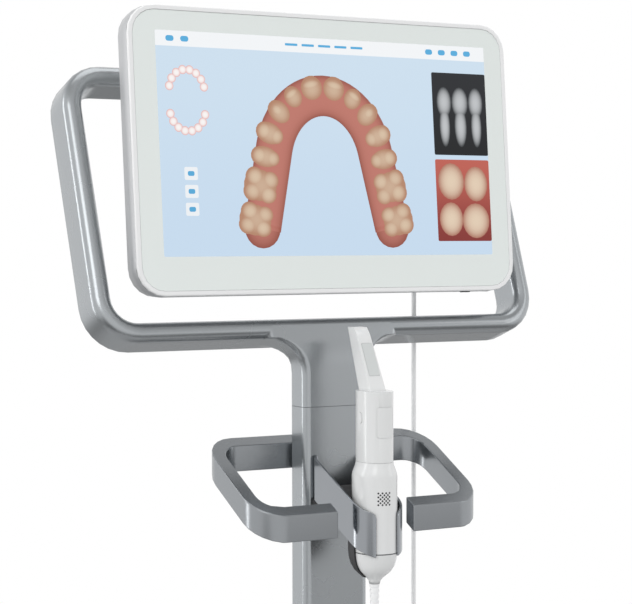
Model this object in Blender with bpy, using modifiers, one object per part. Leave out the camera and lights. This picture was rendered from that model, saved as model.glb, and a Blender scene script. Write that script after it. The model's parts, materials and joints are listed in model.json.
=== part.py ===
"""Cart-mounted intraoral scanner: floor stand, loop frame, touch display, wand and cradle.

Metres, +Z up, the display faces -Y. The origin lies on the floor under the middle of the object.
"""
import math

import bmesh
import bpy
from mathutils import Matrix, Vector

mm = 0.001

# Fits and clearances
GAP = 0.3 * mm                  # between pieces that touch
WELD = 0.01 * mm                # merge distance of welds and screws

# Column
COLUMN_WIDTH = 94.0 * mm
COLUMN_DEPTH = 42.0 * mm
COLUMN_FRONT_Y = -13.5 * mm
COLUMN_EDGE_RADIUS = 10.0 * mm
COLUMN_WALL = 3.5 * mm
COLUMN_FOOT_Z = 100.0 * mm
SEAM_Z = 781.0 * mm
SPIGOT_LENGTH = 50.0 * mm
SPIGOT_ROOT = 25.0 * mm

# Loop frame
LOOP_SIDE_MARGIN = 48.0 * mm    # beyond the display's sides
LOOP_BAR_HEIGHT = 26.0 * mm     # across the bar, in the loop's plane
LOOP_BAR_DEPTH = 56.0 * mm      # front to back, square to the loop's plane
LOOP_REAR_RADIUS = 6.0 * mm
LOOP_CORNER_RADIUS = 44.0 * mm  # at the middle of the bar
LOOP_LEAN = math.radians(19.6)
LOOP_BOTTOM_Z = 879.5 * mm      # middle of the bottom bar, where its round front begins
LOOP_RISE = 338.0 * mm          # between the middles of the bottom and top bars, along the lean
YOKE_FILLET_RADIUS = 50.0 * mm
YOKE_BEND_RADIUS = 100.0 * mm   # of its front face, back into the lean
YOKE_OVERLAP = 2.0 * mm         # above the middle of the bar
YOKE_STEPS = 7

# Ring handle
RING_HALF_WIDTH = 165.0 * mm
RING_HEIGHT = 33.0 * mm
RING_THICKNESS = 18.0 * mm
RING_CORNER_RADIUS = 42.0 * mm
RING_EDGE_RADIUS = 4.5 * mm
RING_OPENING_HALF = 54.5 * mm
RING_FRONT_Y = -110.5 * mm
RING_BACK_BOTTOM_Z = 699.0 * mm
SLOPE = math.radians(27.3)      # of the ring handle and the cradle, down to the front

# Cradle
STRAP_THICKNESS = 3.2 * mm
STRAP_HEIGHT = 54.0 * mm
STRAP_HALF_WIDTH = 34.5 * mm    # at the cup
STRAP_BACK_HALF = 37.5 * mm     # at the column
STRAP_TOP_Z = 720.4 * mm        # at the column
STRAP_BEND_RADIUS = 6.0 * mm
STRAP_CORNER = 5.0 * mm         # upper corners at the slot
STRAP_CORNER_STEPS = 3
WEB_HEIGHT = 12.0 * mm          # of the low web that joins the strap's arms
WEB_SLOPE = 3.0 * mm
SLOT_HALF_ANGLE = math.radians(27.5)
LINER_INSET = 7.0 * mm          # below the strap's upper edge and above its lower one
LINER_BACK = 40.0 * mm          # behind the wand's axis
LINER_TIP_ANGLE = math.radians(40.0)
RIB_HALF_WIDTH = 13.0 * mm
RIB_DROP = 12.0 * mm            # below the strap's lower edge at the column
RIB_RISE = 9.0 * mm             # above it
RIB_LEVEL = 28.0 * mm           # length of its level foot
SHELF_HALF_WIDTH = 37.0 * mm    # under the strap's edge at the column
SHELF_DEPTH = 14.0 * mm
SHELF_HEIGHT = 11.0 * mm
SEAT_WALL = 2.4 * mm
SEAT_SHIFT = 4.5 * mm           # back from the wand's axis
SEAT_FIRST_SECTION = 2          # of the cap's sections
SEAT_OVERLAP = 45.0 * mm        # up into the liner
WAND_CLEARANCE = 0.5 * mm

# Wand
WAND_Y = -106.0 * mm
BARREL_A = 20.5 * mm            # half widths across X and Y
BARREL_B = 28.0 * mm
GRIP_A = 25.9 * mm
GRIP_B = 31.8 * mm
WAND_WALL = 2.5 * mm
CAP_BOTTOM_Z = 566.0 * mm
CAP_TOP_Z = 607.0 * mm
NECK_RADIUS = 6.4 * mm
FLARE_BOTTOM_Z = 701.0 * mm
FLARE_TOP_Z = 719.0 * mm
BARREL_TOP_Z = 807.0 * mm
NOSE_TOP_Z = 884.0 * mm
NOSE_ROOT_A = 12.5 * mm
NOSE_ROOT_B = 15.0 * mm
NOSE_TIP_A = 9.5 * mm
NOSE_TIP_B = 11.5 * mm
NOSE_ROOT_Y = WAND_Y + 5.0 * mm
NOSE_TIP_Y = WAND_Y + 40.0 * mm
NOSE_POWER = 7.0
NOSE_PLUG = 16.0 * mm
NOSE_CHAMFER = 14.0 * mm
NOSE_CHAMFER_ANGLE = math.radians(48.0)
CORE_BOTTOM_Z = 647.0 * mm
WAND_POWER = 2.2                # of the rounded sections, 2 is a true ellipse
CAP_TAPER = ((0.0, 0.0), (0.10, 0.05), (0.20, 0.20), (0.30, 0.42), (0.42, 0.66), (0.60, 0.86),
             (0.80, 0.96), (1.0, 1.0))  # share of the height, share of the way to full width
WAND_STEPS = 28                 # round a section
FLARE_STEPS = 4
WINDOW_Z = 845.0 * mm
WINDOW_WIDTH = 15.0 * mm
WINDOW_LENGTH = 44.0 * mm
WINDOW_CORNER = 1.5 * mm
WINDOW_THICKNESS = 1.0 * mm
BUTTON_Z = 774.0 * mm
BUTTON_LENGTH = 13.0 * mm
BUTTON_WIDTH = 8.0 * mm
BUTTON_CORNER = 3.9 * mm
BUTTON_TRAVEL = 0.6 * mm
BUTTON_PROUD = 0.6 * mm
PAD_WIDTH = 22.0 * mm
PAD_LENGTH = 38.0 * mm
PAD_Z = 769.0 * mm
PAD_THICKNESS = 1.0 * mm
PAD_CORNER = 3.0 * mm
RELIEF_LENGTH = 46.0 * mm
RELIEF_RADIUS = 6.2 * mm
RELIEF_END_RADIUS = 4.9 * mm
RELIEF_RIBS = 6
RELIEF_GROOVE = 1.0 * mm

# Display, in its own frame: X across, Z up along the face, Y back from the face
DISPLAY_WIDTH = 552.0 * mm
DISPLAY_HEIGHT = 356.0 * mm
DISPLAY_DEPTH = 65.0 * mm
DISPLAY_CORNER = 36.0 * mm
DISPLAY_HANG = 95.3 * mm        # its middle below the middle of the loop's top bar
DISPLAY_LEAN = math.radians(4.87)
RIM_WIDTH = 6.0 * mm
RIM_DEPTH = 4.5 * mm
RIM_EDGE = 1.6 * mm
RIM_STEP = 2.4 * mm             # from its side in to the foot that stands on the band
SEAL_GROOVE = 1.5 * mm          # open joint between rim and band
BAND_INSET = 0.8 * mm
GLASS_RECESS = 0.8 * mm
GLASS_THICKNESS = 3.0 * mm
PANEL_WIDTH = 490.0 * mm
PANEL_HEIGHT = 285.0 * mm
PANEL_THICKNESS = 9.0 * mm
CHASSIS_THICKNESS = 2.0 * mm
BAND_DEPTH = 25.5 * mm
SHELL_WALL = 3.0 * mm
COVER_INSET = 18.0 * mm         # of the rear housing inside the display's outline
SMALLEST_RADIUS = 2.0 * mm
COVER_EDGE = 12.0 * mm
FLANGE_THICKNESS = 2.5 * mm
TUB_STEPS = 3
BATTERY_SIZE = (230.0 * mm, 18.0 * mm, 60.0 * mm)
BATTERY_Z = -80.0 * mm
BOARD_SIZE = (200.0 * mm, 2.0 * mm, 130.0 * mm)
BOARD_Z = 45.0 * mm
POST_RADIUS = 5.0 * mm
BOSS_HEIGHT = 6.0 * mm
EDGE_SCREW_INSET = 38.0 * mm
VENT_COUNT = 12
VENT_ROWS_Z = (-131.0 * mm, 136.0 * mm)
VENT_SPACING = 14.0 * mm
VENT_WIDTH = 4.0 * mm
VENT_CORNER = 1.5 * mm
VENT_HEIGHT = 16.0 * mm
POWER_X = 208.0 * mm
POWER_WIDTH = 13.0 * mm
POWER_DEPTH = 6.0 * mm
POWER_PROUD = 1.8 * mm
POWER_TRAVEL = 1.0 * mm

# Display bracket
BRACKET_WIDTH = 150.0 * mm
BRACKET_HEIGHT = 180.0 * mm
BRACKET_CORNER = 12.0 * mm
BRACKET_Z = 35.0 * mm
BRACKET_SCREWS_Z = 10.0 * mm
BRACKET_SCREW_LENGTH = 10.0 * mm
SADDLE_DROP = 19.0 * mm
HOOK_REACH = 27.0 * mm
HOOK_BITE = 9.0 * mm            # of its screw into the bar
BRACKET_THICKNESS = 4.0 * mm
SADDLE_WIDTH = 110.0 * mm
SADDLE_WALL = 12.0 * mm
SCREW_SQUARE = 100.0 * mm

# Cord
CORD_DIAMETER = 6.4 * mm
CORD_X = 163.0 * mm
CORD_Y = 60.0 * mm
CORD_LOW_Z = 148.0 * mm         # middle of the cord at its lowest
CORD_BEND_TOP_Z = 370.0 * mm    # where its two hanging runs begin to bend together
CORD_BEND_STEPS = 26
OUTLET_DROP = 139.6 * mm        # below the display's middle
OUTLET_LENGTH = 35.0 * mm
OUTLET_RADIUS = 5.5 * mm
OUTLET_END_RADIUS = 4.4 * mm
CORD_HOUSING = (26.0 * mm, 20.0 * mm, 24.0 * mm)
HOUSING_EDGE = 3.0 * mm

# Base and casters
LEG_COUNT = 5
LEG_RADIUS = 300.0 * mm
HUB_RADIUS = 68.0 * mm
HUB_TAPER = 4.0 * mm
HUB_BOTTOM_Z = 62.0 * mm
HUB_TOP_Z = 122.0 * mm
COLLAR_TOP_Z = 150.0 * mm
COLLAR_WALL = 12.0 * mm
COLLAR_EDGE = 3.0 * mm
LEG_ROOT_WIDTH = 60.0 * mm
LEG_ROOT_BOTTOM_Z = 72.0 * mm
LEG_ROOT_TOP_Z = 118.0 * mm
LEG_TIP_WIDTH = 40.0 * mm
LEG_TIP_BOTTOM_Z = 92.0 * mm
LEG_TIP_TOP_Z = 115.0 * mm
LEG_EDGE_RADIUS = 7.0 * mm
END_BOSS_RADIUS = 25.0 * mm
END_BOSS_RISE = 3.0 * mm         # into the leg's tip
END_BOSS_EDGE = 2.0 * mm
WHEEL_RADIUS = 37.5 * mm
WHEEL_WIDTH = 24.0 * mm
CASTER_TRAIL = 25.0 * mm
WHEEL_CLEARANCE = 5.0 * mm      # above the tyre
TREAD_CHAMFER = 4.5 * mm
WHEEL_RIM_HEIGHT = 9.0 * mm
WHEEL_WEB_INSET = 4.0 * mm
WHEEL_HUB_RADIUS = 9.0 * mm
FORK_PLATE_RADIUS = 24.0 * mm
FORK_PLATE_THICKNESS = 6.0 * mm
FORK_CHEEK = 4.0 * mm
FORK_SIDE_GAP = 1.6 * mm
CHEEK_FRONT = 12.0 * mm         # ahead of the swivel's axis
CHEEK_SHOULDER = 12.0 * mm      # below the plate
CHEEK_END_RADIUS = 9.0 * mm
STEM_RADIUS = 5.5 * mm
STEM_LENGTH = 17.0 * mm
AXLE_RADIUS = 4.0 * mm
AXLE_HEAD_RADIUS = 7.0 * mm
AXLE_HEAD = 2.0 * mm
LEVER_WIDTH = 24.0 * mm
LEVER_LENGTH = 38.0 * mm
LEVER_THICKNESS = 4.0 * mm
LEVER_PIN_RADIUS = 2.5 * mm
LEVER_PIN_Y = 31.0 * mm
LEVER_PIN_RISE = 5.5 * mm
LEVER_HEEL = 4.0 * mm           # ahead of its pin
BRAKED_CASTERS = (3, 4)

# Screws
SCREW_RADIUS = 2.5 * mm
SCREW_HEAD_RADIUS = 4.6 * mm
SCREW_HEAD = 2.6 * mm
SCREW_BITE = 3.0 * mm           # beyond the column's wall
SCREW_SIDES = 8
RING_SCREW_X = 22.0 * mm
STRAP_SCREW_X = 20.0 * mm

# Where neighbouring pieces meet
COLUMN_BACK_Y = COLUMN_FRONT_Y + COLUMN_DEPTH
COLUMN_MIDDLE_Y = COLUMN_FRONT_Y + COLUMN_DEPTH / 2
RING_BACK_Y = COLUMN_BACK_Y + GAP
RING_OUTER_Y = RING_BACK_Y + RING_THICKNESS
CUP_INNER_RADIUS = STRAP_HALF_WIDTH - STRAP_THICKNESS
LOOP_HALF_WIDTH = DISPLAY_WIDTH / 2 + LOOP_SIDE_MARGIN
DISPLAY_CENTRE_Z = LOOP_BOTTOM_Z + LOOP_RISE * math.cos(LOOP_LEAN) - DISPLAY_HANG
OUTLET_TOP_Z = DISPLAY_CENTRE_Z - OUTLET_DROP
FORK_PLATE_Z = 2 * WHEEL_RADIUS + WHEEL_CLEARANCE
BOSS_BOTTOM_Z = FORK_PLATE_Z + FORK_PLATE_THICKNESS + GAP


def collection(name):
    """Make a collection in the scene."""
    made = bpy.data.collections.new(name)
    bpy.context.scene.collection.children.link(made)
    return made


def material(name, color, roughness, metallic=0.0):
    """Make a Principled material."""
    made = bpy.data.materials.new(name)
    made.use_nodes = True
    shader = made.node_tree.nodes["Principled BSDF"]
    shader.inputs["Base Color"].default_value = (*color, 1.0)
    shader.inputs["Roughness"].default_value = roughness
    shader.inputs["Metallic"].default_value = metallic
    return made


for old in list(bpy.data.objects):
    bpy.data.objects.remove(old, do_unlink=True)

PARTS = collection("intraoral_scanner")
CUTTERS = collection("cutters")

SATIN = material("satin_metal_paint", (0.33, 0.34, 0.35), 0.32, 0.8)
STEEL = material("brushed_steel", (0.42, 0.40, 0.38), 0.35, 1.0)
WHITE = material("gloss_white", (0.86, 0.87, 0.87), 0.18)
BEZEL = material("glass_bezel", (0.70, 0.75, 0.73), 0.08)
BLACK = material("black_rubber", (0.02, 0.02, 0.02), 0.6)
SILVER = material("silver_band", (0.45, 0.46, 0.47), 0.3, 0.7)
GREY = material("grey_plastic", (0.42, 0.43, 0.44), 0.45)
PALE = material("pale_window", (0.70, 0.72, 0.72), 0.15)
BOARD = material("circuit_board", (0.02, 0.16, 0.07), 0.5)
TYRE = material("tyre_grey", (0.10, 0.10, 0.11), 0.55)
BOLT = material("bolt_steel", (0.5, 0.5, 0.5), 0.3, 1.0)


def add(name, mesh, look=None, parent=None):
    """Add a piece to the part, or a cutter when it has no look."""
    made = bpy.data.objects.new(name, mesh)
    if look is None:
        CUTTERS.objects.link(made)
        made.hide_render = True
        made.display_type = "WIRE"
    else:
        PARTS.objects.link(made)
        mesh.materials.clear()
        mesh.materials.append(look)
    made.parent = parent
    return made


def empty(name, location, rotation=(0.0, 0.0, 0.0), parent=None):
    """Add an empty that carries pieces."""
    made = bpy.data.objects.new(name, None)
    CUTTERS.objects.link(made)
    made.location = location
    made.rotation_euler = rotation
    made.parent = parent
    return made


def mesh_from(work, name):
    """Turn a bmesh into a mesh whose faces point out."""
    bmesh.ops.recalc_face_normals(work, faces=work.faces)
    mesh = bpy.data.meshes.new(name)
    work.to_mesh(mesh)
    work.free()
    return mesh


def smooth(piece, angle=35.0):
    """Shade a piece smooth, apart from its sharp edges."""
    piece.data.shade_smooth()
    piece.data.set_sharp_from_angle(angle=math.radians(angle))
    return piece


def bevel(piece, width, segments=2, angle=40.0):
    """Round the sharp edges of a piece."""
    rounding = piece.modifiers.new("rounded_edges", "BEVEL")
    rounding.width = width
    rounding.segments = segments
    rounding.limit_method = "ANGLE"
    rounding.angle_limit = math.radians(angle)
    return piece


def boolean(piece, other, operation):
    """Cut, join or intersect a piece with another shape."""
    step = piece.modifiers.new(operation.lower(), "BOOLEAN")
    step.operation = operation
    step.solver = "EXACT"
    step.object = other
    return piece


def cut(piece, *cutters):
    """Take shapes out of a piece."""
    for cutter in cutters:
        boolean(piece, cutter, "DIFFERENCE")
    return piece


def fuse(piece, *others):
    """Join shapes to a piece."""
    for other in others:
        boolean(piece, other, "UNION")
    return piece


def arc(centre, radius, start, end, steps):
    """Points along an arc, angles in radians."""
    points = []
    for step in range(steps + 1):
        turn = start + (end - start) * step / steps
        points.append((centre[0] + radius * math.cos(turn), centre[1] + radius * math.sin(turn)))
    return points


def rounded_rectangle(width, height, radius, steps=6, centre=(0.0, 0.0)):
    """Outline of a rectangle with round corners."""
    across = width / 2 - radius
    up = height / 2 - radius
    corners = ((across, up), (-across, up), (-across, -up), (across, -up))
    points = []
    for number, (x, y) in enumerate(corners):
        start = number * math.pi / 2
        middle = (centre[0] + x, centre[1] + y)
        points += arc(middle, radius, start, start + math.pi / 2, steps)
    return points


AXES = {
    "XY": Matrix(((1, 0, 0, 0), (0, 1, 0, 0), (0, 0, 1, 0), (0, 0, 0, 1))),
    "XZ": Matrix(((1, 0, 0, 0), (0, 0, -1, 0), (0, 1, 0, 0), (0, 0, 0, 1))),
    "YZ": Matrix(((0, 0, 1, 0), (1, 0, 0, 0), (0, 1, 0, 0), (0, 0, 0, 1))),
}


def slab(name, outlines, low, high, plane="XY", look=None, parent=None):
    """Flat outlines, the first with the rest as holes, extruded from low to high off their plane."""
    curve = bpy.data.curves.new(name, "CURVE")
    curve.dimensions = "2D"
    curve.fill_mode = "BOTH"
    curve.extrude = (high - low) / 2
    for outline in outlines:
        spline = curve.splines.new("POLY")
        spline.points.add(len(outline) - 1)
        for point, (x, y) in zip(spline.points, outline):
            point.co = (x, y, 0.0, 1.0)
        spline.use_cyclic_u = True
    mesh = mesh_of_curve(curve, name)
    middle = (low + high) / 2
    if plane == "XZ":
        middle = -middle
    mesh.transform(AXES[plane] @ Matrix.Translation((0.0, 0.0, middle)))
    return add(name, mesh, look, parent)


def mesh_of_curve(curve, name):
    """Turn a curve into a welded mesh."""
    holder = bpy.data.objects.new(name, curve)
    bpy.context.scene.collection.objects.link(holder)
    graph = bpy.context.evaluated_depsgraph_get()
    loose = bpy.data.meshes.new_from_object(holder.evaluated_get(graph))
    bpy.data.objects.remove(holder, do_unlink=True)
    work = bmesh.new()
    work.from_mesh(loose)
    bmesh.ops.remove_doubles(work, verts=work.verts, dist=WELD)
    return mesh_from(work, name)


def box(name, low, high, look=None, parent=None):
    """A box between two corners."""
    size = [b - a for a, b in zip(low, high)]
    middle = [(a + b) / 2 for a, b in zip(low, high)]
    work = bmesh.new()
    place = Matrix.Translation(middle) @ Matrix.Diagonal((*size, 1.0))
    bmesh.ops.create_cube(work, size=1.0, matrix=place)
    return add(name, mesh_from(work, name), look, parent)


def rod_mesh(work, start, end, radius, end_radius=None, sides=16):
    """Add a cylinder or a cone between two points to a bmesh."""
    start, end = Vector(start), Vector(end)
    along = end - start
    turn = Vector((0.0, 0.0, 1.0)).rotation_difference(along).to_matrix().to_4x4()
    place = Matrix.Translation((start + end) / 2) @ turn
    last = radius if end_radius is None else end_radius
    bmesh.ops.create_cone(work, cap_ends=True, segments=sides, radius1=radius, radius2=last,
                          depth=along.length, matrix=place)


def rod(name, start, end, radius, look=None, parent=None, end_radius=None, sides=16):
    """A cylinder or a cone between two points."""
    work = bmesh.new()
    rod_mesh(work, start, end, radius, end_radius, sides)
    return add(name, mesh_from(work, name), look, parent)


def turned(name, profile, look=None, parent=None, steps=24, matrix=None, closed=False):
    """A profile of (radius, height), from top to bottom, turned about Z and then placed."""
    mesh = bpy.data.meshes.new(name)
    edges = [(i, i + 1) for i in range(len(profile) - 1)]
    if closed:
        edges.append((len(profile) - 1, 0))
    mesh.from_pydata([(radius, 0.0, height) for radius, height in profile], edges, [])
    piece = add(name, mesh, look, parent)
    screw = piece.modifiers.new("turned", "SCREW")
    screw.steps = steps
    screw.render_steps = steps
    screw.use_merge_vertices = True
    screw.merge_threshold = WELD
    if matrix is not None:
        piece.matrix_local = matrix
    return piece


def ellipse(a, b, power=2.0, steps=32):
    """Outline of an ellipse, or of a rounded box for a higher power."""
    points = []
    for step in range(steps):
        turn = 2 * math.pi * step / steps
        c, s = math.cos(turn), math.sin(turn)
        x = a * math.copysign(abs(c) ** (2 / power), c)
        y = b * math.copysign(abs(s) ** (2 / power), s)
        points.append((x, y))
    return points


def add_rings(work, rings):
    """Skin a row of point rings, all with as many points, and close both ends."""
    skins = [[work.verts.new(point) for point in ring] for ring in rings]
    for lower, upper in zip(skins, skins[1:]):
        for i in range(len(lower)):
            j = (i + 1) % len(lower)
            work.faces.new((lower[i], lower[j], upper[j], upper[i]))
    work.faces.new(list(reversed(skins[0])))
    work.faces.new(skins[-1])


def loft(name, sections, look=None, parent=None, steps=WAND_STEPS):
    """A closed body through level sections of (z, middle y, half x, half y, power)."""
    rings = []
    for z, y, a, b, power in sections:
        rings.append([Vector((px, y + py, z)) for px, py in ellipse(a, b, power, steps)])
    work = bmesh.new()
    add_rings(work, rings)
    return add(name, mesh_from(work, name), look, parent)


def sloped(piece):
    """Shear a piece so that it runs down to the front."""
    shear = Matrix.Identity(4)
    shear[2][1] = math.tan(SLOPE)
    piece.data.transform(shear)
    return piece


def slope_rise(y):
    """Height that the slope gains at y."""
    return y * math.tan(SLOPE)


def screws(name, places, length, pieces=(), parent=None):
    """Numbered pan-head screws, with clearance holes in the pieces that they pass.

    places holds (point under the head, direction that the shank runs).
    """
    holes = bmesh.new()
    profile = ((SCREW_HEAD_RADIUS * 0.75, -SCREW_HEAD), (SCREW_HEAD_RADIUS, -SCREW_HEAD * 0.4),
               (SCREW_HEAD_RADIUS, 0.0), (SCREW_RADIUS, 0.0), (SCREW_RADIUS, length))
    for number, (point, direction) in enumerate(places, 1):
        way = Vector(direction).normalized()
        turn = Vector((0.0, 0.0, 1.0)).rotation_difference(way).to_matrix().to_4x4()
        place = Matrix.Translation(point) @ turn
        body = bmesh.new()
        add_rings(body, [[place @ Vector((x, y, z)) for x, y in ellipse(radius, radius, 2.0, SCREW_SIDES)]
                         for radius, z in profile])
        label = name if len(places) == 1 else "%s_%d" % (name, number)
        add(label, mesh_from(body, label), BOLT, parent)
        start = Vector(point)
        rod_mesh(holes, start - way * GAP * 2, start + way * (length + GAP), SCREW_RADIUS + GAP,
                 sides=SCREW_SIDES)
    cutter = add(name + "_holes", mesh_from(holes, name + "_holes"), None, parent)
    for piece in pieces:
        cut(piece, cutter)


def column_outline(grow=0.0):
    """Section of the column, grown or shrunk all round."""
    return rounded_rectangle(COLUMN_WIDTH + 2 * grow, COLUMN_DEPTH + 2 * grow,
                             COLUMN_EDGE_RADIUS + grow, 5, (0.0, COLUMN_MIDDLE_Y))


def loop_place(along, forward):
    """Point (y, z) of the loop, along its lean from the bottom bar's middle and forward of it."""
    half = LOOP_BAR_HEIGHT / 2
    y = COLUMN_FRONT_Y + YOKE_BEND_RADIUS * (1 - math.cos(LOOP_LEAN))
    y += half * (math.sin(LOOP_LEAN) + math.cos(LOOP_LEAN))
    y += along * math.sin(LOOP_LEAN) - forward * math.cos(LOOP_LEAN)
    z = LOOP_BOTTOM_Z + along * math.cos(LOOP_LEAN) + forward * math.sin(LOOP_LEAN)
    return y, z


def bar_section(grow=0.0):
    """Section of the loop's bar: across the bar, and forward from where its round front begins."""
    half = LOOP_BAR_HEIGHT / 2 + grow
    flat = LOOP_BAR_DEPTH - LOOP_BAR_HEIGHT / 2 + grow
    rear = LOOP_REAR_RADIUS + grow
    points = arc((0.0, 0.0), half, 0.0, math.pi, 8)
    points += arc((-half + rear, -flat + rear), rear, math.pi, 1.5 * math.pi, 2)
    points += arc((half - rear, -flat + rear), rear, 1.5 * math.pi, 2 * math.pi, 2)
    return points


def build_loop_frame():
    """The closed loop round the display, in one casting with the column head."""
    half = LOOP_HALF_WIDTH - LOOP_BAR_HEIGHT / 2
    centre = (0.0, LOOP_RISE / 2)
    path = rounded_rectangle(2 * half, LOOP_RISE, LOOP_CORNER_RADIUS, 7, centre)
    y, z = loop_place(0.0, 0.0)
    lean = Matrix.Translation((0.0, y, z)) @ Matrix.Rotation(math.pi / 2 - LOOP_LEAN, 4, "X")
    rings = []
    for (u, v), (normal_u, normal_v) in zip(path, path_normals(path)):
        rings.append([lean @ Vector((u + a * normal_u, v + a * normal_v, n)) for a, n in bar_section()])
    work = bmesh.new()
    add_closed_rings(work, rings)
    loop = add("loop_frame", mesh_from(work, "loop_frame"), SATIN)
    fuse(loop, build_yoke())
    spigot = slab("spigot", [column_outline(-COLUMN_WALL - GAP)], SEAM_Z - SPIGOT_LENGTH,
                  SEAM_Z + SPIGOT_ROOT)
    fuse(loop, spigot)
    return smooth(loop)


def path_normals(path):
    """Outward normal at each point of a closed outline."""
    normals = []
    for i, (x, y) in enumerate(path):
        before, after = path[i - 1], path[(i + 1) % len(path)]
        along = Vector((after[0] - before[0], after[1] - before[1])).normalized()
        normals.append((along.y, -along.x))
    return normals


def add_closed_rings(work, rings):
    """Skin a row of rings that ends where it began."""
    skins = [[work.verts.new(point) for point in ring] for ring in rings]
    for lower, upper in zip(skins, skins[1:] + skins[:1]):
        for i in range(len(lower)):
            j = (i + 1) % len(lower)
            work.faces.new((lower[i], lower[j], upper[j], upper[i]))


def yoke_front(below):
    """Place (y, z) and lean of the yoke's front face, at a distance down from the bar's middle."""
    straight = LOOP_BAR_HEIGHT / 2
    if below <= straight:
        return *loop_place(-below, straight), LOOP_LEAN
    turn = LOOP_LEAN - (below - straight) / YOKE_BEND_RADIUS
    lean = max(turn, 0.0)
    y, z = loop_place(-straight, straight)
    y -= YOKE_BEND_RADIUS * (math.cos(lean) - math.cos(LOOP_LEAN))
    z -= YOKE_BEND_RADIUS * (math.sin(LOOP_LEAN) - math.sin(lean))
    return y, z - YOKE_BEND_RADIUS * (lean - turn), lean


def build_yoke():
    """The column head. It bends back into the loop's lean, and its sides sweep out into the bar."""
    half = COLUMN_WIDTH / 2
    radius = YOKE_FILLET_RADIUS
    under = LOOP_BAR_HEIGHT / 2
    bend_end = under + YOKE_BEND_RADIUS * LOOP_LEAN
    seam = bend_end + yoke_front(bend_end)[1] - SEAM_Z
    stations = [(half, seam)]
    for x, rise in arc((half + radius, 0.0), radius, math.pi, math.pi / 2, YOKE_STEPS):
        stations.append((x, under + radius - rise))
    stations.append((half + radius, -YOKE_OVERLAP))
    rings = []
    for x, below in stations:
        y, z, lean = yoke_front(below)
        outline = rounded_rectangle(2 * x, COLUMN_DEPTH, COLUMN_EDGE_RADIUS, 5, (0.0, COLUMN_DEPTH / 2))
        rings.append([(px, y + back * math.cos(lean), z - back * math.sin(lean)) for px, back in outline])
    work = bmesh.new()
    add_rings(work, rings)
    return add("yoke", mesh_from(work, "yoke"))


def build_column():
    """The hollow column."""
    column = slab("column_tube", [column_outline(), column_outline(-COLUMN_WALL)],
                  COLUMN_FOOT_Z, SEAM_Z - GAP, look=SATIN)
    return smooth(column)


def ring_outline():
    """Plan of the C-shaped handle, open at the front."""
    outer_r = RING_CORNER_RADIUS
    inner_r = RING_CORNER_RADIUS - RING_THICKNESS
    x = RING_HALF_WIDTH - outer_r
    back = RING_OUTER_Y - outer_r
    front = RING_FRONT_Y + outer_r
    quarter = math.pi / 2
    outer = [(RING_OPENING_HALF, RING_FRONT_Y)]
    outer += arc((x, front), outer_r, -quarter, 0.0, 6)
    outer += arc((x, back), outer_r, 0.0, quarter, 6)
    outer += arc((-x, back), outer_r, quarter, 2 * quarter, 6)
    outer += arc((-x, front), outer_r, 2 * quarter, 3 * quarter, 6)
    outer += [(-RING_OPENING_HALF, RING_FRONT_Y)]
    inner = [(-RING_OPENING_HALF, RING_FRONT_Y + RING_THICKNESS)]
    inner += arc((-x, front), inner_r, 3 * quarter, 2 * quarter, 6)
    inner += arc((-x, back), inner_r, 2 * quarter, quarter, 6)
    inner += arc((x, back), inner_r, quarter, 0.0, 6)
    inner += arc((x, front), inner_r, 0.0, -quarter, 6)
    inner += [(RING_OPENING_HALF, RING_FRONT_Y + RING_THICKNESS)]
    return outer + inner


def build_ring_handle():
    """The handle, whose back passes behind the column."""
    low = RING_BACK_BOTTOM_Z - slope_rise(RING_BACK_Y)
    ring = sloped(slab("ring_handle", [ring_outline()], low, low + RING_HEIGHT, look=SATIN))
    return smooth(bevel(ring, RING_EDGE_RADIUS, 2, 50.0))


def strap_path():
    """Middle line of the bent strap, from one side of the cup's slot to the other."""
    radius = STRAP_HALF_WIDTH - STRAP_THICKNESS / 2
    corner = STRAP_BACK_HALF - STRAP_THICKNESS / 2 - STRAP_BEND_RADIUS
    back_y = COLUMN_FRONT_Y - GAP - STRAP_THICKNESS / 2 - STRAP_BEND_RADIUS
    tip = -math.pi / 2 + SLOT_HALF_ANGLE
    past_corner = tip + STRAP_CORNER / radius
    path = arc((0.0, WAND_Y), radius, tip, past_corner, STRAP_CORNER_STEPS)
    path += arc((0.0, WAND_Y), radius, past_corner, 0.0, 7)[1:]
    path += arc((corner, back_y), STRAP_BEND_RADIUS, 0.0, math.pi / 2, 3)
    path.append((corner - WEB_SLOPE, back_y + STRAP_BEND_RADIUS))
    return path + [(-x, y) for x, y in reversed(path)]


def strap_low(y):
    """Height of the strap's lower edge at y."""
    return STRAP_TOP_Z - STRAP_HEIGHT + slope_rise(y - COLUMN_FRONT_Y)


def strap_height(place, count):
    """Height of the strap at a place along its path: low at the web, round at the slot's corners."""
    from_end = min(place, count - 1 - place)
    if from_end == count // 2 - 1:
        return WEB_HEIGHT
    left = max(1 - from_end / STRAP_CORNER_STEPS, 0.0)
    return STRAP_HEIGHT - STRAP_CORNER * (1 - math.sqrt(1 - left * left))


def build_strap():
    """The bent steel strap: two arms from a low web at the column, and the wand's cup."""
    path = strap_path()
    work = bmesh.new()
    lower = [work.verts.new((x, y, strap_low(y))) for x, y in path]
    upper = [work.verts.new((x, y, strap_low(y) + strap_height(i, len(path))))
             for i, (x, y) in enumerate(path)]
    for i in range(len(path) - 1):
        work.faces.new((lower[i], lower[i + 1], upper[i + 1], upper[i]))
    mesh = bpy.data.meshes.new("cradle_strap")
    work.to_mesh(mesh)
    work.free()
    strap = add("cradle_strap", mesh, STEEL)
    wall = strap.modifiers.new("sheet", "SOLIDIFY")
    wall.thickness = STRAP_THICKNESS
    wall.offset = 0.0
    wall.use_even_offset = True
    return smooth(bevel(strap, 0.6 * mm, 1, 60.0))


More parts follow.
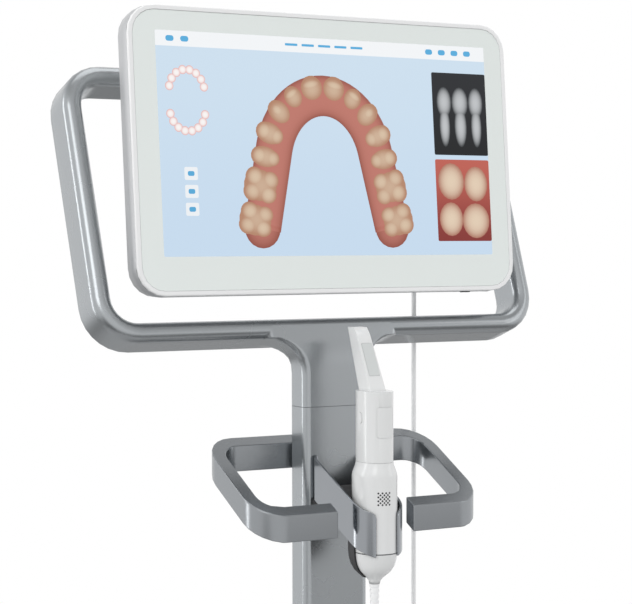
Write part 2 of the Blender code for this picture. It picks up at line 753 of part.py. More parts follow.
def cap_sections(grow=0.0):
    """Sections of the wand's lower cap, from its neck up to the joint line."""
    a, b = GRIP_A + grow, GRIP_B + grow
    neck = NECK_RADIUS + grow
    rise = CAP_TOP_Z - CAP_BOTTOM_Z
    sections = []
    for height, share in CAP_TAPER:
        half_x = neck + (a - neck) * share
        half_y = neck + (b - neck) * share
        sections.append((CAP_BOTTOM_Z + rise * height, WAND_Y, half_x, half_y, WAND_POWER))
    return sections


def grip_sections(grow=0.0):
    """Sections of the grip, from the joint line up through the flare."""
    low = (GRIP_A + grow, GRIP_B + grow)
    high = (BARREL_A + grow, BARREL_B + grow)
    sections = [(CAP_TOP_Z + GAP, WAND_Y, *low, WAND_POWER)]
    for step in range(FLARE_STEPS + 1):
        share = step / FLARE_STEPS
        ease = share * share * (3 - 2 * share)
        a = low[0] + (high[0] - low[0]) * ease
        b = low[1] + (high[1] - low[1]) * ease
        z = FLARE_BOTTOM_Z + (FLARE_TOP_Z - FLARE_BOTTOM_Z) * share
        sections.append((z, WAND_Y, a, b, WAND_POWER))
    return sections


def barrel_sections(low, high, grow=0.0):
    """Sections of the straight barrel between two heights."""
    return [(z, WAND_Y, BARREL_A + grow, BARREL_B + grow, WAND_POWER) for z in (low, high)]


def nose_sections(low, high, grow=0.0):
    """Sections of the nose between two heights. It narrows and runs back as it rises."""
    sections = []
    for z in (low, high):
        share = (z - BARREL_TOP_Z) / (NOSE_TOP_Z - BARREL_TOP_Z)
        a = NOSE_ROOT_A + (NOSE_TIP_A - NOSE_ROOT_A) * share + grow
        b = NOSE_ROOT_B + (NOSE_TIP_B - NOSE_ROOT_B) * share + grow
        y = NOSE_ROOT_Y + (NOSE_TIP_Y - NOSE_ROOT_Y) * share
        sections.append((z, y, a, b, NOSE_POWER))
    return sections


def build_insert():
    """The black moulded insert: the cup's liner, its rib back to the column and the wand's seat."""
    half = CUP_INNER_RADIUS - GAP
    liner_back = WAND_Y + LINER_BACK
    outline = [(half, liner_back)]
    outline += arc((0.0, WAND_Y), half, 0.0, -LINER_TIP_ANGLE, 4)
    outline += arc((0.0, WAND_Y), half, math.pi + LINER_TIP_ANGLE, math.pi, 4)
    outline += [(-half, liner_back)]
    low = strap_low(0.0) + LINER_INSET
    high = strap_low(0.0) + STRAP_HEIGHT - LINER_INSET
    insert = sloped(slab("cradle_insert", [outline], low, high, look=BLACK))
    fuse(insert, build_rib(liner_back))
    seat = [(z, y + SEAT_SHIFT, a, b, power) for z, y, a, b, power in cap_sections(SEAT_WALL)]
    _, y, a, b, power = seat[-1]
    seat.append((CAP_TOP_Z + SEAT_OVERLAP, y, a, b, power))
    bowl = loft("wand_seat", seat[SEAT_FIRST_SECTION:])
    reach = 2 * GRIP_B
    cut(bowl, box("seat_front", (-reach, WAND_Y - reach, CAP_BOTTOM_Z - reach),
                  (reach, WAND_Y + SEAT_WALL, CAP_TOP_Z + reach)))
    fuse(insert, bowl)
    top = (STRAP_TOP_Z, WAND_Y, GRIP_A + WAND_CLEARANCE, GRIP_B + WAND_CLEARANCE, WAND_POWER)
    cut(insert, loft("wand_hollow", cap_sections(WAND_CLEARANCE) + [top]))
    return smooth(insert)


def build_rib(liner_back):
    """The insert's rib. It runs back with the strap's slope to a shelf under the strap's edge."""
    back = COLUMN_FRONT_Y - STRAP_THICKNESS - 2 * GAP
    front = liner_back - LINER_INSET / 2
    low = strap_low(COLUMN_FRONT_Y)
    foot = low - RIB_DROP
    profile = [(back, foot), (back, low + RIB_RISE), (front, strap_low(front) + RIB_RISE + LINER_INSET),
               (front, strap_low(front) + 2 * LINER_INSET), (back - RIB_LEVEL, foot)]
    rib = slab("insert_rib", [profile], -RIB_HALF_WIDTH, RIB_HALF_WIDTH, "YZ")
    shelf_back = COLUMN_FRONT_Y - GAP
    shelf_front = shelf_back - SHELF_DEPTH
    shelf = [(shelf_back, low - SHELF_HEIGHT), (shelf_back, low - STRAP_THICKNESS / 2),
             (shelf_front, strap_low(shelf_front) - 2 * GAP), (shelf_front, low - SHELF_HEIGHT)]
    fuse(rib, slab("insert_shelf", [shelf], -SHELF_HALF_WIDTH, SHELF_HALF_WIDTH, "YZ"))
    return rib


def build_wand():
    """The wand that rests in the cradle."""
    smooth(loft("wand_cap", cap_sections(), WHITE))
    grip = loft("wand_grip", grip_sections(), WHITE)
    inside = grip_sections(-WAND_WALL)
    below = (inside[0][0] - WAND_WALL, *inside[0][1:])
    above = (inside[-1][0] + WAND_WALL, *inside[-1][1:])
    cut(grip, loft("grip_inside", [below] + inside[1:] + [above]))
    barrel = loft("wand_barrel", barrel_sections(FLARE_TOP_Z + GAP, BARREL_TOP_Z), WHITE)
    cut(barrel, loft("barrel_inside", barrel_sections(FLARE_TOP_Z - WAND_WALL,
                                                      BARREL_TOP_Z - WAND_WALL, -WAND_WALL)))
    cut(barrel, loft("nose_hole", nose_sections(BARREL_TOP_Z - 2 * WAND_WALL,
                                                BARREL_TOP_Z + WAND_WALL, GAP)))
    core = barrel_sections(CORE_BOTTOM_Z, BARREL_TOP_Z - NOSE_PLUG - GAP, -WAND_WALL - GAP)
    smooth(loft("imaging_module", core, GREY))
    build_nose()
    build_touch_pad(barrel)
    for side, word in ((-1, "left"), (1, "right")):
        build_side_button(barrel, side, word)
    build_strain_relief()
    smooth(grip)
    smooth(barrel)


def nose_front(z):
    """How far forward the nose's front face lies at a height."""
    share = (z - BARREL_TOP_Z) / (NOSE_TOP_Z - BARREL_TOP_Z)
    root = NOSE_ROOT_Y - NOSE_ROOT_B
    tip = NOSE_TIP_Y - NOSE_TIP_B
    return root + (tip - root) * share


def build_nose():
    """The nose, with the window let into its front."""
    nose = loft("wand_nose", nose_sections(BARREL_TOP_Z - NOSE_PLUG, NOSE_TOP_Z), WHITE)
    corner = NOSE_TOP_Z - NOSE_CHAMFER
    edge = empty("nose_chamfer_edge", (0.0, nose_front(corner), corner), (NOSE_CHAMFER_ANGLE, 0.0, 0.0))
    reach = NOSE_TOP_Z - BARREL_TOP_Z
    cut(nose, box("nose_chamfer", (-reach, -NOSE_CHAMFER, 0.0), (reach, reach, reach), parent=edge))
    lean = math.atan2(nose_front(NOSE_TOP_Z) - nose_front(BARREL_TOP_Z), reach)
    place = empty("window_place", (0.0, nose_front(WINDOW_Z), WINDOW_Z), (-lean, 0.0, 0.0))
    size = (WINDOW_WIDTH, WINDOW_LENGTH, WINDOW_CORNER)
    slab("nose_window", [rounded_rectangle(*size, 3)], 0.0, WINDOW_THICKNESS, "XZ", PALE, place)
    pocket = rounded_rectangle(*[value + 2 * GAP for value in size[:2]], WINDOW_CORNER + GAP, 3)
    cut(nose, slab("window_pocket", [pocket], -NOSE_TIP_B, WINDOW_THICKNESS + GAP, "XZ", None, place))
    return smooth(nose)


def build_touch_pad(barrel):
    """The touch pad, a curved plate let into the barrel's front."""
    low, high = PAD_Z - PAD_LENGTH, PAD_Z + PAD_LENGTH
    front, back = WAND_Y - 2 * BARREL_B, WAND_Y
    pad = loft("touch_pad", barrel_sections(low, high), WHITE)
    cut(pad, loft("pad_inside", barrel_sections(low - GAP, high + GAP, -PAD_THICKNESS)))
    outline = rounded_rectangle(PAD_WIDTH, PAD_LENGTH, PAD_CORNER, 3, (0.0, PAD_Z))
    boolean(pad, slab("pad_outline", [outline], front, back, "XZ"), "INTERSECT")
    wide = rounded_rectangle(PAD_WIDTH + 2 * GAP, PAD_LENGTH + 2 * GAP, PAD_CORNER + GAP, 3, (0.0, PAD_Z))
    recess = slab("pad_recess", [wide], front, back, "XZ")
    cut(recess, loft("pad_floor", barrel_sections(low, high, -PAD_THICKNESS - GAP)))
    cut(barrel, recess)
    return smooth(pad)


def build_side_button(barrel, side, word):
    """A sprung button in the barrel's side, on an empty at its own middle."""
    place = empty("button_axis_" + word, (side * BARREL_A, WAND_Y, BUTTON_Z))
    outer = BUTTON_PROUD
    inner = -WAND_WALL + BUTTON_TRAVEL
    low, high = sorted((side * outer, side * inner))
    outline = rounded_rectangle(BUTTON_WIDTH, BUTTON_LENGTH, BUTTON_CORNER, 4)
    button = slab("side_button_" + word, [outline], low, high, "YZ", WHITE, place)
    wide = rounded_rectangle(BUTTON_WIDTH + 2 * GAP, BUTTON_LENGTH + 2 * GAP, BUTTON_CORNER + GAP, 4)
    cut(barrel, slab("button_hole_" + word, [wide], -2 * WAND_WALL, 2 * WAND_WALL, "YZ", None, place))
    return smooth(button)


def build_strain_relief():
    """The ribbed sleeve that the cord leaves the wand through."""
    profile = [(0.0, 0.0)]
    pitch = RELIEF_LENGTH / (RELIEF_RIBS + 0.5)
    for rib in range(RELIEF_RIBS + 1):
        share = rib / RELIEF_RIBS
        radius = RELIEF_RADIUS + (RELIEF_END_RADIUS - RELIEF_RADIUS) * share
        top = -rib * pitch
        bottom = top - pitch / 2
        profile += [(radius, top), (radius, bottom)]
        if rib < RELIEF_RIBS:
            profile += [(radius - RELIEF_GROOVE, bottom), (radius - RELIEF_GROOVE, top - pitch)]
    profile.append((0.0, profile[-1][1]))
    place = Matrix.Translation((0.0, WAND_Y, CAP_BOTTOM_Z - GAP))
    return smooth(turned("strain_relief", profile, WHITE, steps=12, matrix=place))


def display_slab(name, size, low, high, look, inner=None, parent=None, middle_z=0.0):
    """A rounded plate or ring of the display, from low to high behind its face."""
    outlines = [rounded_rectangle(*size, 5, (0.0, middle_z))]
    if inner is not None:
        outlines.append(rounded_rectangle(*inner, 5, (0.0, middle_z)))
    return slab(name, outlines, low, high, "XZ", look, parent)


def shrunk(size, step):
    """A rounded rectangle's width, height and radius, each side moved in by step."""
    width, height, radius = size
    return width - 2 * step, height - 2 * step, max(radius - step, SMALLEST_RADIUS)


def tub(name, size, front, back, edge, look=None, parent=None):
    """A rounded block from front to back, with its far edge rounded."""
    stations = [(front, 0.0), (back - edge, 0.0)]
    for step in range(1, TUB_STEPS + 1):
        turn = math.pi / 2 * step / TUB_STEPS
        stations.append((back - edge + edge * math.sin(turn), edge * (1 - math.cos(turn))))
    rings = []
    for y, inset in stations:
        rings.append([(x, y, z) for x, z in rounded_rectangle(*shrunk(size, inset), 5)])
    work = bmesh.new()
    add_rings(work, rings)
    return add(name, mesh_from(work, name), look, parent)


def build_display():
    """The touch display, in its own leaning frame."""
    face = empty("display_face", (0.0, 0.0, DISPLAY_CENTRE_Z), (-DISPLAY_LEAN, 0.0, 0.0))
    outside = (DISPLAY_WIDTH, DISPLAY_HEIGHT, DISPLAY_CORNER)
    opening = shrunk(outside, RIM_WIDTH)
    body = shrunk(outside, BAND_INSET)
    hollow = shrunk(body, SHELL_WALL)
    band_front = RIM_DEPTH + SEAL_GROOVE
    band_back = band_front + BAND_DEPTH
    build_rim(face, outside, band_front - GAP)
    glass_back = GLASS_RECESS + GLASS_THICKNESS
    display_slab("touch_glass", shrunk(opening, GAP), GLASS_RECESS, glass_back, BEZEL, None, face)
    panel_back = glass_back + GAP + PANEL_THICKNESS
    box("lcd_panel", (-PANEL_WIDTH / 2, glass_back + GAP, -PANEL_HEIGHT / 2),
        (PANEL_WIDTH / 2, panel_back, PANEL_HEIGHT / 2), GREY, face)
    band = display_slab("side_band", body, band_front, band_back, SILVER, hollow, face)
    chassis_front = panel_back + GAP
    chassis_back = chassis_front + CHASSIS_THICKNESS
    chassis = display_slab("chassis_plate", shrunk(hollow, GAP), chassis_front, chassis_back,
                           BOLT, None, face)
    cover = build_rear_cover(face, shrunk(outside, COVER_INSET), chassis_back + GAP)
    fuse(cover, display_slab("cover_flange", shrunk(hollow, GAP), band_back - FLANGE_THICKNESS, band_back,
                             None, shrunk(outside, COVER_INSET + SHELL_WALL / 2), face))
    floor = DISPLAY_DEPTH - SHELL_WALL
    board_back = floor - BOSS_HEIGHT - GAP
    centred_box("main_board", BOARD_SIZE, (0.0, board_back - BOARD_SIZE[1] / 2, BOARD_Z), BOARD, face)
    centred_box("battery_pack", BATTERY_SIZE, (0.0, floor - GAP - BATTERY_SIZE[1] / 2, BATTERY_Z),
                GREY, face)
    reach = DISPLAY_DEPTH - chassis_front
    places = [((x, DISPLAY_DEPTH + GAP, z), (0, -1, 0)) for x, z in edge_screw_places()]
    screws("display_screw", places, reach, (cover, chassis), face)
    build_power_button(face, band, body[1] / 2, (band_front + band_back) / 2)
    smooth(band)
    return face, cover


def build_rim(face, outside, foot):
    """The white rim, whose stepped foot stands on the band and leaves an open joint round it."""
    inner_edge = RIM_EDGE / 2
    section = [(RIM_STEP, foot), (RIM_STEP, RIM_DEPTH), (0.0, RIM_DEPTH)]
    section += arc((RIM_EDGE, RIM_EDGE), RIM_EDGE, math.pi, 1.5 * math.pi, 3)
    section += arc((RIM_WIDTH - inner_edge, inner_edge), inner_edge, -math.pi / 2, 0.0, 2)
    section.append((RIM_WIDTH, foot))
    rings = []
    for inset, depth in section:
        rings.append([(x, depth, z) for x, z in rounded_rectangle(*shrunk(outside, inset), 5)])
    work = bmesh.new()
    add_closed_rings(work, rings)
    return smooth(add("front_rim", mesh_from(work, "front_rim"), WHITE, face))


def centred_box(name, size, middle, look, parent):
    """A box of a size about a point."""
    low = [m - s / 2 for m, s in zip(middle, size)]
    high = [m + s / 2 for m, s in zip(middle, size)]
    return box(name, low, high, look, parent)


def edge_screw_places():
    """Where the four screws of the rear cover lie, as (x, z)."""
    x = DISPLAY_WIDTH / 2 - EDGE_SCREW_INSET
    z = DISPLAY_HEIGHT / 2 - EDGE_SCREW_INSET
    return [(across, up) for across in (-x, x) for up in (-z, z)]


def mount_screw_places():
    """Where the four screws of the mounting plate lie, as (x, z)."""
    half = SCREW_SQUARE / 2
    return [(x, BRACKET_SCREWS_Z + z) for x in (-half, half) for z in (-half, half)]


def build_rear_cover(face, outside, front):
    """The rear cover: an open tub with vents, screw posts and the cord's housing."""
    cover = tub("rear_cover", outside, front, DISPLAY_DEPTH, COVER_EDGE, WHITE, face)
    floor = DISPLAY_DEPTH - SHELL_WALL
    inside = tub("cover_inside", shrunk(outside, SHELL_WALL), front - SHELL_WALL, floor,
                 COVER_EDGE - SHELL_WALL, None, face)
    posts = bmesh.new()
    root = floor + SHELL_WALL / 2
    for x, z in edge_screw_places():
        rod_mesh(posts, (x, front, z), (x, root, z), POST_RADIUS, sides=SCREW_SIDES)
    for x, z in mount_screw_places():
        rod_mesh(posts, (x, floor - BOSS_HEIGHT, z), (x, root, z), POST_RADIUS, sides=SCREW_SIDES)
    cut(inside, add("cover_posts", mesh_from(posts, "cover_posts"), None, face))
    cut(cover, inside)
    width, depth, height = CORD_HOUSING
    housing = box("cord_housing", (CORD_X - width / 2, CORD_Y - depth / 2, OUTLET_TOP_Z),
                  (CORD_X + width / 2, CORD_Y + depth / 2, OUTLET_TOP_Z + height))
    fuse(cover, bevel(housing, HOUSING_EDGE, 2))
    slots = []
    for row_z in VENT_ROWS_Z:
        for number in range(VENT_COUNT):
            x = (number - (VENT_COUNT - 1) / 2) * VENT_SPACING
            slots.append(rounded_rectangle(VENT_WIDTH, VENT_HEIGHT, VENT_CORNER, 1, (x, row_z)))
    cut(cover, slab("vents", slots, floor - GAP, DISPLAY_DEPTH + GAP, "XZ", None, face))
    return smooth(cover)


def build_power_button(face, band, half_height, middle_y):
    """The power button under the display, on an empty at its own middle."""
    place = empty("power_axis", (POWER_X, middle_y, -half_height), parent=face)
    low = (-POWER_WIDTH / 2, -POWER_DEPTH / 2, -POWER_PROUD)
    high = (POWER_WIDTH / 2, POWER_DEPTH / 2, SHELL_WALL - POWER_TRAVEL)
    button = bevel(box("power_button", low, high, BLACK, place), BUTTON_PROUD, 2)
    hole = box("power_hole", (low[0] - GAP, low[1] - GAP, -SHELL_WALL),
               (high[0] + GAP, high[1] + GAP, 2 * SHELL_WALL), None, place)
    cut(band, hole)
    return smooth(button)


def build_bracket(face, cover, loop):
    """The casting that hangs the display on the loop's top bar."""
    front = DISPLAY_DEPTH + GAP
    back = front + BRACKET_THICKNESS
    size = (BRACKET_WIDTH, BRACKET_HEIGHT, BRACKET_CORNER)
    bracket = display_slab("display_bracket", size, front, back, SATIN, None, face, BRACKET_Z)
    _, top_z = loop_place(LOOP_RISE, 0.0)
    wall = LOOP_BAR_HEIGHT / 2 + SADDLE_WALL
    plate_low = plate_back_y(top_z - SADDLE_DROP, back)
    plate_high = plate_back_y(top_z + SADDLE_DROP, back)
    inset = BRACKET_THICKNESS / 2
    outline = [(plate_low - inset, top_z - SADDLE_DROP),
               (loop_place(LOOP_RISE, LOOP_BAR_HEIGHT / 2)[0], top_z - SADDLE_DROP),
               loop_place(LOOP_RISE, 0.0),
               loop_place(LOOP_RISE, -HOOK_REACH),
               loop_place(LOOP_RISE + wall, -HOOK_REACH),
               loop_place(LOOP_RISE + wall, LOOP_BAR_HEIGHT / 2),
               (plate_high - inset, top_z + SADDLE_DROP)]
    saddle = slab("saddle", [outline], -SADDLE_WIDTH / 2, SADDLE_WIDTH / 2, "YZ")
    fuse(bracket, saddle)
    bar = [loop_place(LOOP_RISE + across, forward) for across, forward in bar_section(GAP)]
    cut(bracket, slab("bar_clearance", [bar], -SADDLE_WIDTH, SADDLE_WIDTH, "YZ"))
    plate_screws = [((x, back + GAP, z), (0, -1, 0)) for x, z in mount_screw_places()]
    screws("bracket_screw", plate_screws, BRACKET_SCREW_LENGTH, (bracket, cover), face)
    down = (0.0, -math.sin(LOOP_LEAN), -math.cos(LOOP_LEAN))
    screws("hook_screw", [((0.0, *loop_place(LOOP_RISE + wall + GAP, -HOOK_REACH / 2)), down)],
           SADDLE_WALL + HOOK_BITE, (bracket, loop))
    return smooth(bracket)


def plate_back_y(z, back):
    """How far back the mounting plate's rear face lies at a height."""
    up = (z - DISPLAY_CENTRE_Z + back * math.sin(DISPLAY_LEAN)) / math.cos(DISPLAY_LEAN)
    return back * math.cos(DISPLAY_LEAN) + up * math.sin(DISPLAY_LEAN)


def cord_route(start, end):
    """Points of the cord: straight down from both ends into one hanging bend."""
    route = [start]
    for step in range(CORD_BEND_STEPS + 1):
        turn = math.pi * step / CORD_BEND_STEPS
        share = (1 - math.cos(turn)) / 2
        x = start[0] + (end[0] - start[0]) * share
        y = start[1] + (end[1] - start[1]) * share
        route.append((x, y, CORD_BEND_TOP_Z - (CORD_BEND_TOP_Z - CORD_LOW_Z) * math.sin(turn)))
    return route + [end]


def build_cord():
    """The cord from the display's outlet down in a hanging bend and up to the wand."""
    profile = [(0.0, 0.0), (OUTLET_RADIUS, 0.0), (OUTLET_RADIUS, -OUTLET_LENGTH / 4),
               (OUTLET_END_RADIUS, -OUTLET_LENGTH), (0.0, -OUTLET_LENGTH)]
    place = Matrix.Translation((CORD_X, CORD_Y, OUTLET_TOP_Z - GAP))
    smooth(turned("cord_outlet", profile, WHITE, steps=16, matrix=place))
    start = (CORD_X, CORD_Y, OUTLET_TOP_Z - OUTLET_LENGTH - 2 * GAP)
    end = (0.0, WAND_Y, CAP_BOTTOM_Z - RELIEF_LENGTH - 2 * GAP)
    curve = bpy.data.curves.new("scanner_cord", "CURVE")
    curve.dimensions = "3D"
    curve.bevel_depth = CORD_DIAMETER / 2
    curve.bevel_resolution = 2
    curve.use_fill_caps = True
    route = cord_route(start, end)
    spline = curve.splines.new("POLY")
    spline.points.add(len(route) - 1)
    for point, place in zip(spline.points, route):
        point.co = (*place, 1.0)
    return smooth(add("scanner_cord", mesh_of_curve(curve, "scanner_cord"), WHITE))


def build_base(column):
    """The five-legged base with its socket for the column."""
    base = rod("star_base", (0, COLUMN_MIDDLE_Y, HUB_BOTTOM_Z), (0, COLUMN_MIDDLE_Y, HUB_TOP_Z),
               HUB_RADIUS, SATIN, None, HUB_RADIUS - HUB_TAPER, 28)
    bevel(base, LEG_EDGE_RADIUS, 2, 60.0)
    stems = bmesh.new()
    for number in range(LEG_COUNT):
        fuse(base, build_leg(number))
        x, y = leg_end(number)
        boss = rod("end_boss_%d" % (number + 1), (x, y, BOSS_BOTTOM_Z),
                   (x, y, LEG_TIP_TOP_Z + END_BOSS_RISE), END_BOSS_RADIUS, sides=16)
        fuse(base, bevel(boss, END_BOSS_EDGE, 1, 60.0))
        rod_mesh(stems, (x, y, BOSS_BOTTOM_Z - GAP), (x, y, BOSS_BOTTOM_Z + STEM_LENGTH),
                 STEM_RADIUS + GAP, sides=12)
    collar_size = (COLUMN_WIDTH + 2 * COLLAR_WALL, COLUMN_DEPTH + 2 * COLLAR_WALL)
    collar_outline = rounded_rectangle(*collar_size, COLUMN_EDGE_RADIUS + COLLAR_WALL, 6,
                                       (0.0, COLUMN_MIDDLE_Y))
    collar = slab("collar", [collar_outline], HUB_TOP_Z - COLLAR_WALL, COLLAR_TOP_Z)
    fuse(base, bevel(collar, COLLAR_EDGE, 2, 60.0))
    cut(base, slab("column_socket", [column_outline(GAP)], COLUMN_FOOT_Z - GAP, COLLAR_TOP_Z + GAP))
    cut(base, add("stem_holes", mesh_from(stems, "stem_holes")))
    head = (0.0, COLUMN_BACK_Y + COLLAR_WALL + GAP, (HUB_TOP_Z + COLLAR_TOP_Z) / 2)
    screws("base_screw", [(head, (0, -1, 0))], COLLAR_WALL + COLUMN_WALL + SCREW_BITE, (base, column))
    return smooth(base)


def leg_angle(number):
    """Direction of a leg, the first one straight back."""
    return math.pi / 2 + number * 2 * math.pi / LEG_COUNT


def leg_end(number):
    """Where a leg carries its caster, as (x, y)."""
    turn = leg_angle(number)
    return LEG_RADIUS * math.cos(turn), COLUMN_MIDDLE_Y + LEG_RADIUS * math.sin(turn)


def build_leg(number):
    """One tapered leg, its long edges rounded."""
    place = (Matrix.Translation((0.0, COLUMN_MIDDLE_Y, 0.0))
             @ Matrix.Rotation(leg_angle(number), 4, "Z"))
    root = (HUB_RADIUS / 2, LEG_ROOT_WIDTH, LEG_ROOT_BOTTOM_Z, LEG_ROOT_TOP_Z)
    tip = (LEG_RADIUS, LEG_TIP_WIDTH, LEG_TIP_BOTTOM_Z, LEG_TIP_TOP_Z)
    rings = []
    for out, width, low, high in (root, tip):
        outline = rounded_rectangle(width, high - low, LEG_EDGE_RADIUS, 3, (0.0, (low + high) / 2))
        rings.append([place @ Vector((out, across, up)) for across, up in outline])
    work = bmesh.new()
    add_rings(work, rings)
    name = "leg_%d" % (number + 1)
    return add(name, mesh_from(work, name))


def cheek_outline():
    """Side view of a caster's cheek, from the swivel's axis: (y, z)."""
    top = FORK_PLATE_Z + FORK_PLATE_THICKNESS / 2
    rear = LEVER_PIN_Y + LEVER_PIN_RISE
    outline = [(-CHEEK_FRONT, top), (-CHEEK_FRONT, top - CHEEK_SHOULDER)]
    outline += arc((CASTER_TRAIL, WHEEL_RADIUS), CHEEK_END_RADIUS, math.radians(200), math.radians(375), 5)
    outline += [(rear, top - CHEEK_SHOULDER), (rear, top)]
    return outline


def build_caster(number):
    """A swivelling caster: fork, wheel and axle, with a brake lever on the front two."""
    x, y = leg_end(number)
    tag = "_%d" % (number + 1)
    swivel = empty("swivel_axis" + tag, (x, y, 0.0))
    axle = empty("axle_axis" + tag, (0.0, CASTER_TRAIL, WHEEL_RADIUS), parent=swivel)
    fork = rod("caster_fork" + tag, (0, 0, FORK_PLATE_Z), (0, 0, FORK_PLATE_Z + FORK_PLATE_THICKNESS),
               FORK_PLATE_RADIUS, GREY, swivel, sides=16)
    fuse(fork, rod("stem" + tag, (0, 0, FORK_PLATE_Z + FORK_PLATE_THICKNESS / 3),
                   (0, 0, BOSS_BOTTOM_Z + STEM_LENGTH - 2 * GAP), STEM_RADIUS, None, swivel, sides=12))
    inner = WHEEL_WIDTH / 2 + FORK_SIDE_GAP
    outer = inner + FORK_CHEEK
    for side in (-1, 1):
        low, high = sorted((side * inner, side * outer))
        fuse(fork, slab("cheek%s_%d" % (tag, side), [cheek_outline()], low, high, "YZ", None, swivel))
    bore = rod("axle_bore" + tag, (-outer - GAP, 0, 0), (outer + GAP, 0, 0), AXLE_RADIUS + GAP, None, axle,
               sides=12)
    cut(fork, bore)
    half = outer + GAP
    profile = [(0.0, half + AXLE_HEAD), (AXLE_HEAD_RADIUS, half + AXLE_HEAD), (AXLE_HEAD_RADIUS, half),
               (AXLE_RADIUS, half), (AXLE_RADIUS, -half), (AXLE_HEAD_RADIUS, -half),
               (AXLE_HEAD_RADIUS, -half - AXLE_HEAD), (0.0, -half - AXLE_HEAD)]
    sideways = Matrix.Rotation(math.pi / 2, 4, "Y")
    smooth(turned("caster_axle" + tag, profile, BOLT, axle, 8, sideways))
    smooth(turned("caster_wheel" + tag, wheel_profile(), TYRE, axle, 20, sideways, closed=True))
    if number + 1 in BRAKED_CASTERS:
        build_brake(fork, swivel, tag, outer)
    return smooth(fork)


def wheel_profile():
    """Section of a wheel: tread, side walls and hub, down the outside and up the bore."""
    half = WHEEL_WIDTH / 2
    hub_half = half + FORK_SIDE_GAP - GAP
    rim = WHEEL_RADIUS - WHEEL_RIM_HEIGHT
    down = [(AXLE_RADIUS + GAP, hub_half), (WHEEL_HUB_RADIUS, hub_half),
            (WHEEL_HUB_RADIUS, half - WHEEL_WEB_INSET), (rim, half - WHEEL_WEB_INSET), (rim, half),
            (WHEEL_RADIUS - TREAD_CHAMFER, half), (WHEEL_RADIUS, half - TREAD_CHAMFER)]
    return down + [(radius, -height) for radius, height in reversed(down)]


def build_brake(fork, swivel, tag, outer):
    """The brake lever behind the top plate, on an empty at its pin."""
    pin_z = 2 * WHEEL_RADIUS + LEVER_PIN_RISE
    pin = empty("lever_axis" + tag, (0.0, LEVER_PIN_Y, pin_z), parent=swivel)
    half = LEVER_THICKNESS / 2
    lever = box("brake_lever" + tag, (-LEVER_WIDTH / 2, -LEVER_HEEL, -half),
                (LEVER_WIDTH / 2, LEVER_LENGTH, half), BLACK, pin)
    bevel(lever, half / 2, 1)
    fuse(lever, rod("lever_pin" + tag, (-outer, 0, 0), (outer, 0, 0), LEVER_PIN_RADIUS, None, pin, sides=12))
    cut(fork, rod("lever_bore" + tag, (-outer - GAP, 0, 0), (outer + GAP, 0, 0),
                  LEVER_PIN_RADIUS + GAP, None, pin, sides=12))
    return lever


def build_fixings(loop, column, ring, strap):
    """Screws that hold the handle, the cradle and the column head."""
    middle = RING_BACK_BOTTOM_Z + RING_HEIGHT / 2 + slope_rise(RING_THICKNESS / 2)
    ring_places = [((x, RING_OUTER_Y + GAP, middle), (0, -1, 0)) for x in (-RING_SCREW_X, RING_SCREW_X)]
    screws("ring_screw", ring_places, RING_THICKNESS + COLUMN_WALL + SCREW_BITE, (ring, column))
    front = COLUMN_FRONT_Y - 2 * GAP - STRAP_THICKNESS
    z = strap_low(COLUMN_FRONT_Y) + WEB_HEIGHT / 2
    strap_places = [((x, front, z), (0, 1, 0)) for x in (-STRAP_SCREW_X, STRAP_SCREW_X)]
    screws("cradle_screw", strap_places, STRAP_THICKNESS + COLUMN_WALL + SCREW_BITE, (strap, column))
    head = (0.0, COLUMN_BACK_Y + GAP, SEAM_Z - SPIGOT_LENGTH / 2)
    screws("column_screw", [(head, (0, -1, 0))], COLUMN_WALL + 2 * SCREW_BITE, (column, loop))


def centre_on_floor():
    """Move the whole object so that its footprint is centred on the origin."""
    back = LEG_RADIUS + CASTER_TRAIL + WHEEL_RADIUS
    front = LEG_RADIUS * math.cos(math.pi / LEG_COUNT) + END_BOSS_RADIUS
    shift = -COLUMN_MIDDLE_Y - (back - front) / 2
    for group in (PARTS, CUTTERS):
        for piece in group.objects:
            if piece.parent is None:
                piece.location.y += shift


def build():
    """Build every piece of the scanner."""
    column = build_column()
    loop = build_loop_frame()
    ring = build_ring_handle()
    strap = build_strap()
    build_insert()
    build_wand()
    face, cover = build_display()
    build_bracket(face, cover, loop)
    build_cord()
    build_base(column)
    for number in range(LEG_COUNT):
        build_caster(number)
    build_fixings(loop, column, ring, strap)
    centre_on_floor()


build()
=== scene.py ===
"""Looks of a cart-mounted intraoral scanner: finishes, smooth skins and the pieces too fine for the solids.

Metres, +Z up, the display faces -Y. Every piece is built in the same frame as the solids.
"""

import json
import logging
import math
from dataclasses import dataclass, field
from enum import Enum
from typing import Callable, Iterable, Sequence

import bmesh
import bpy
from mathutils import Matrix, Vector
from mathutils.bvhtree import BVHTree

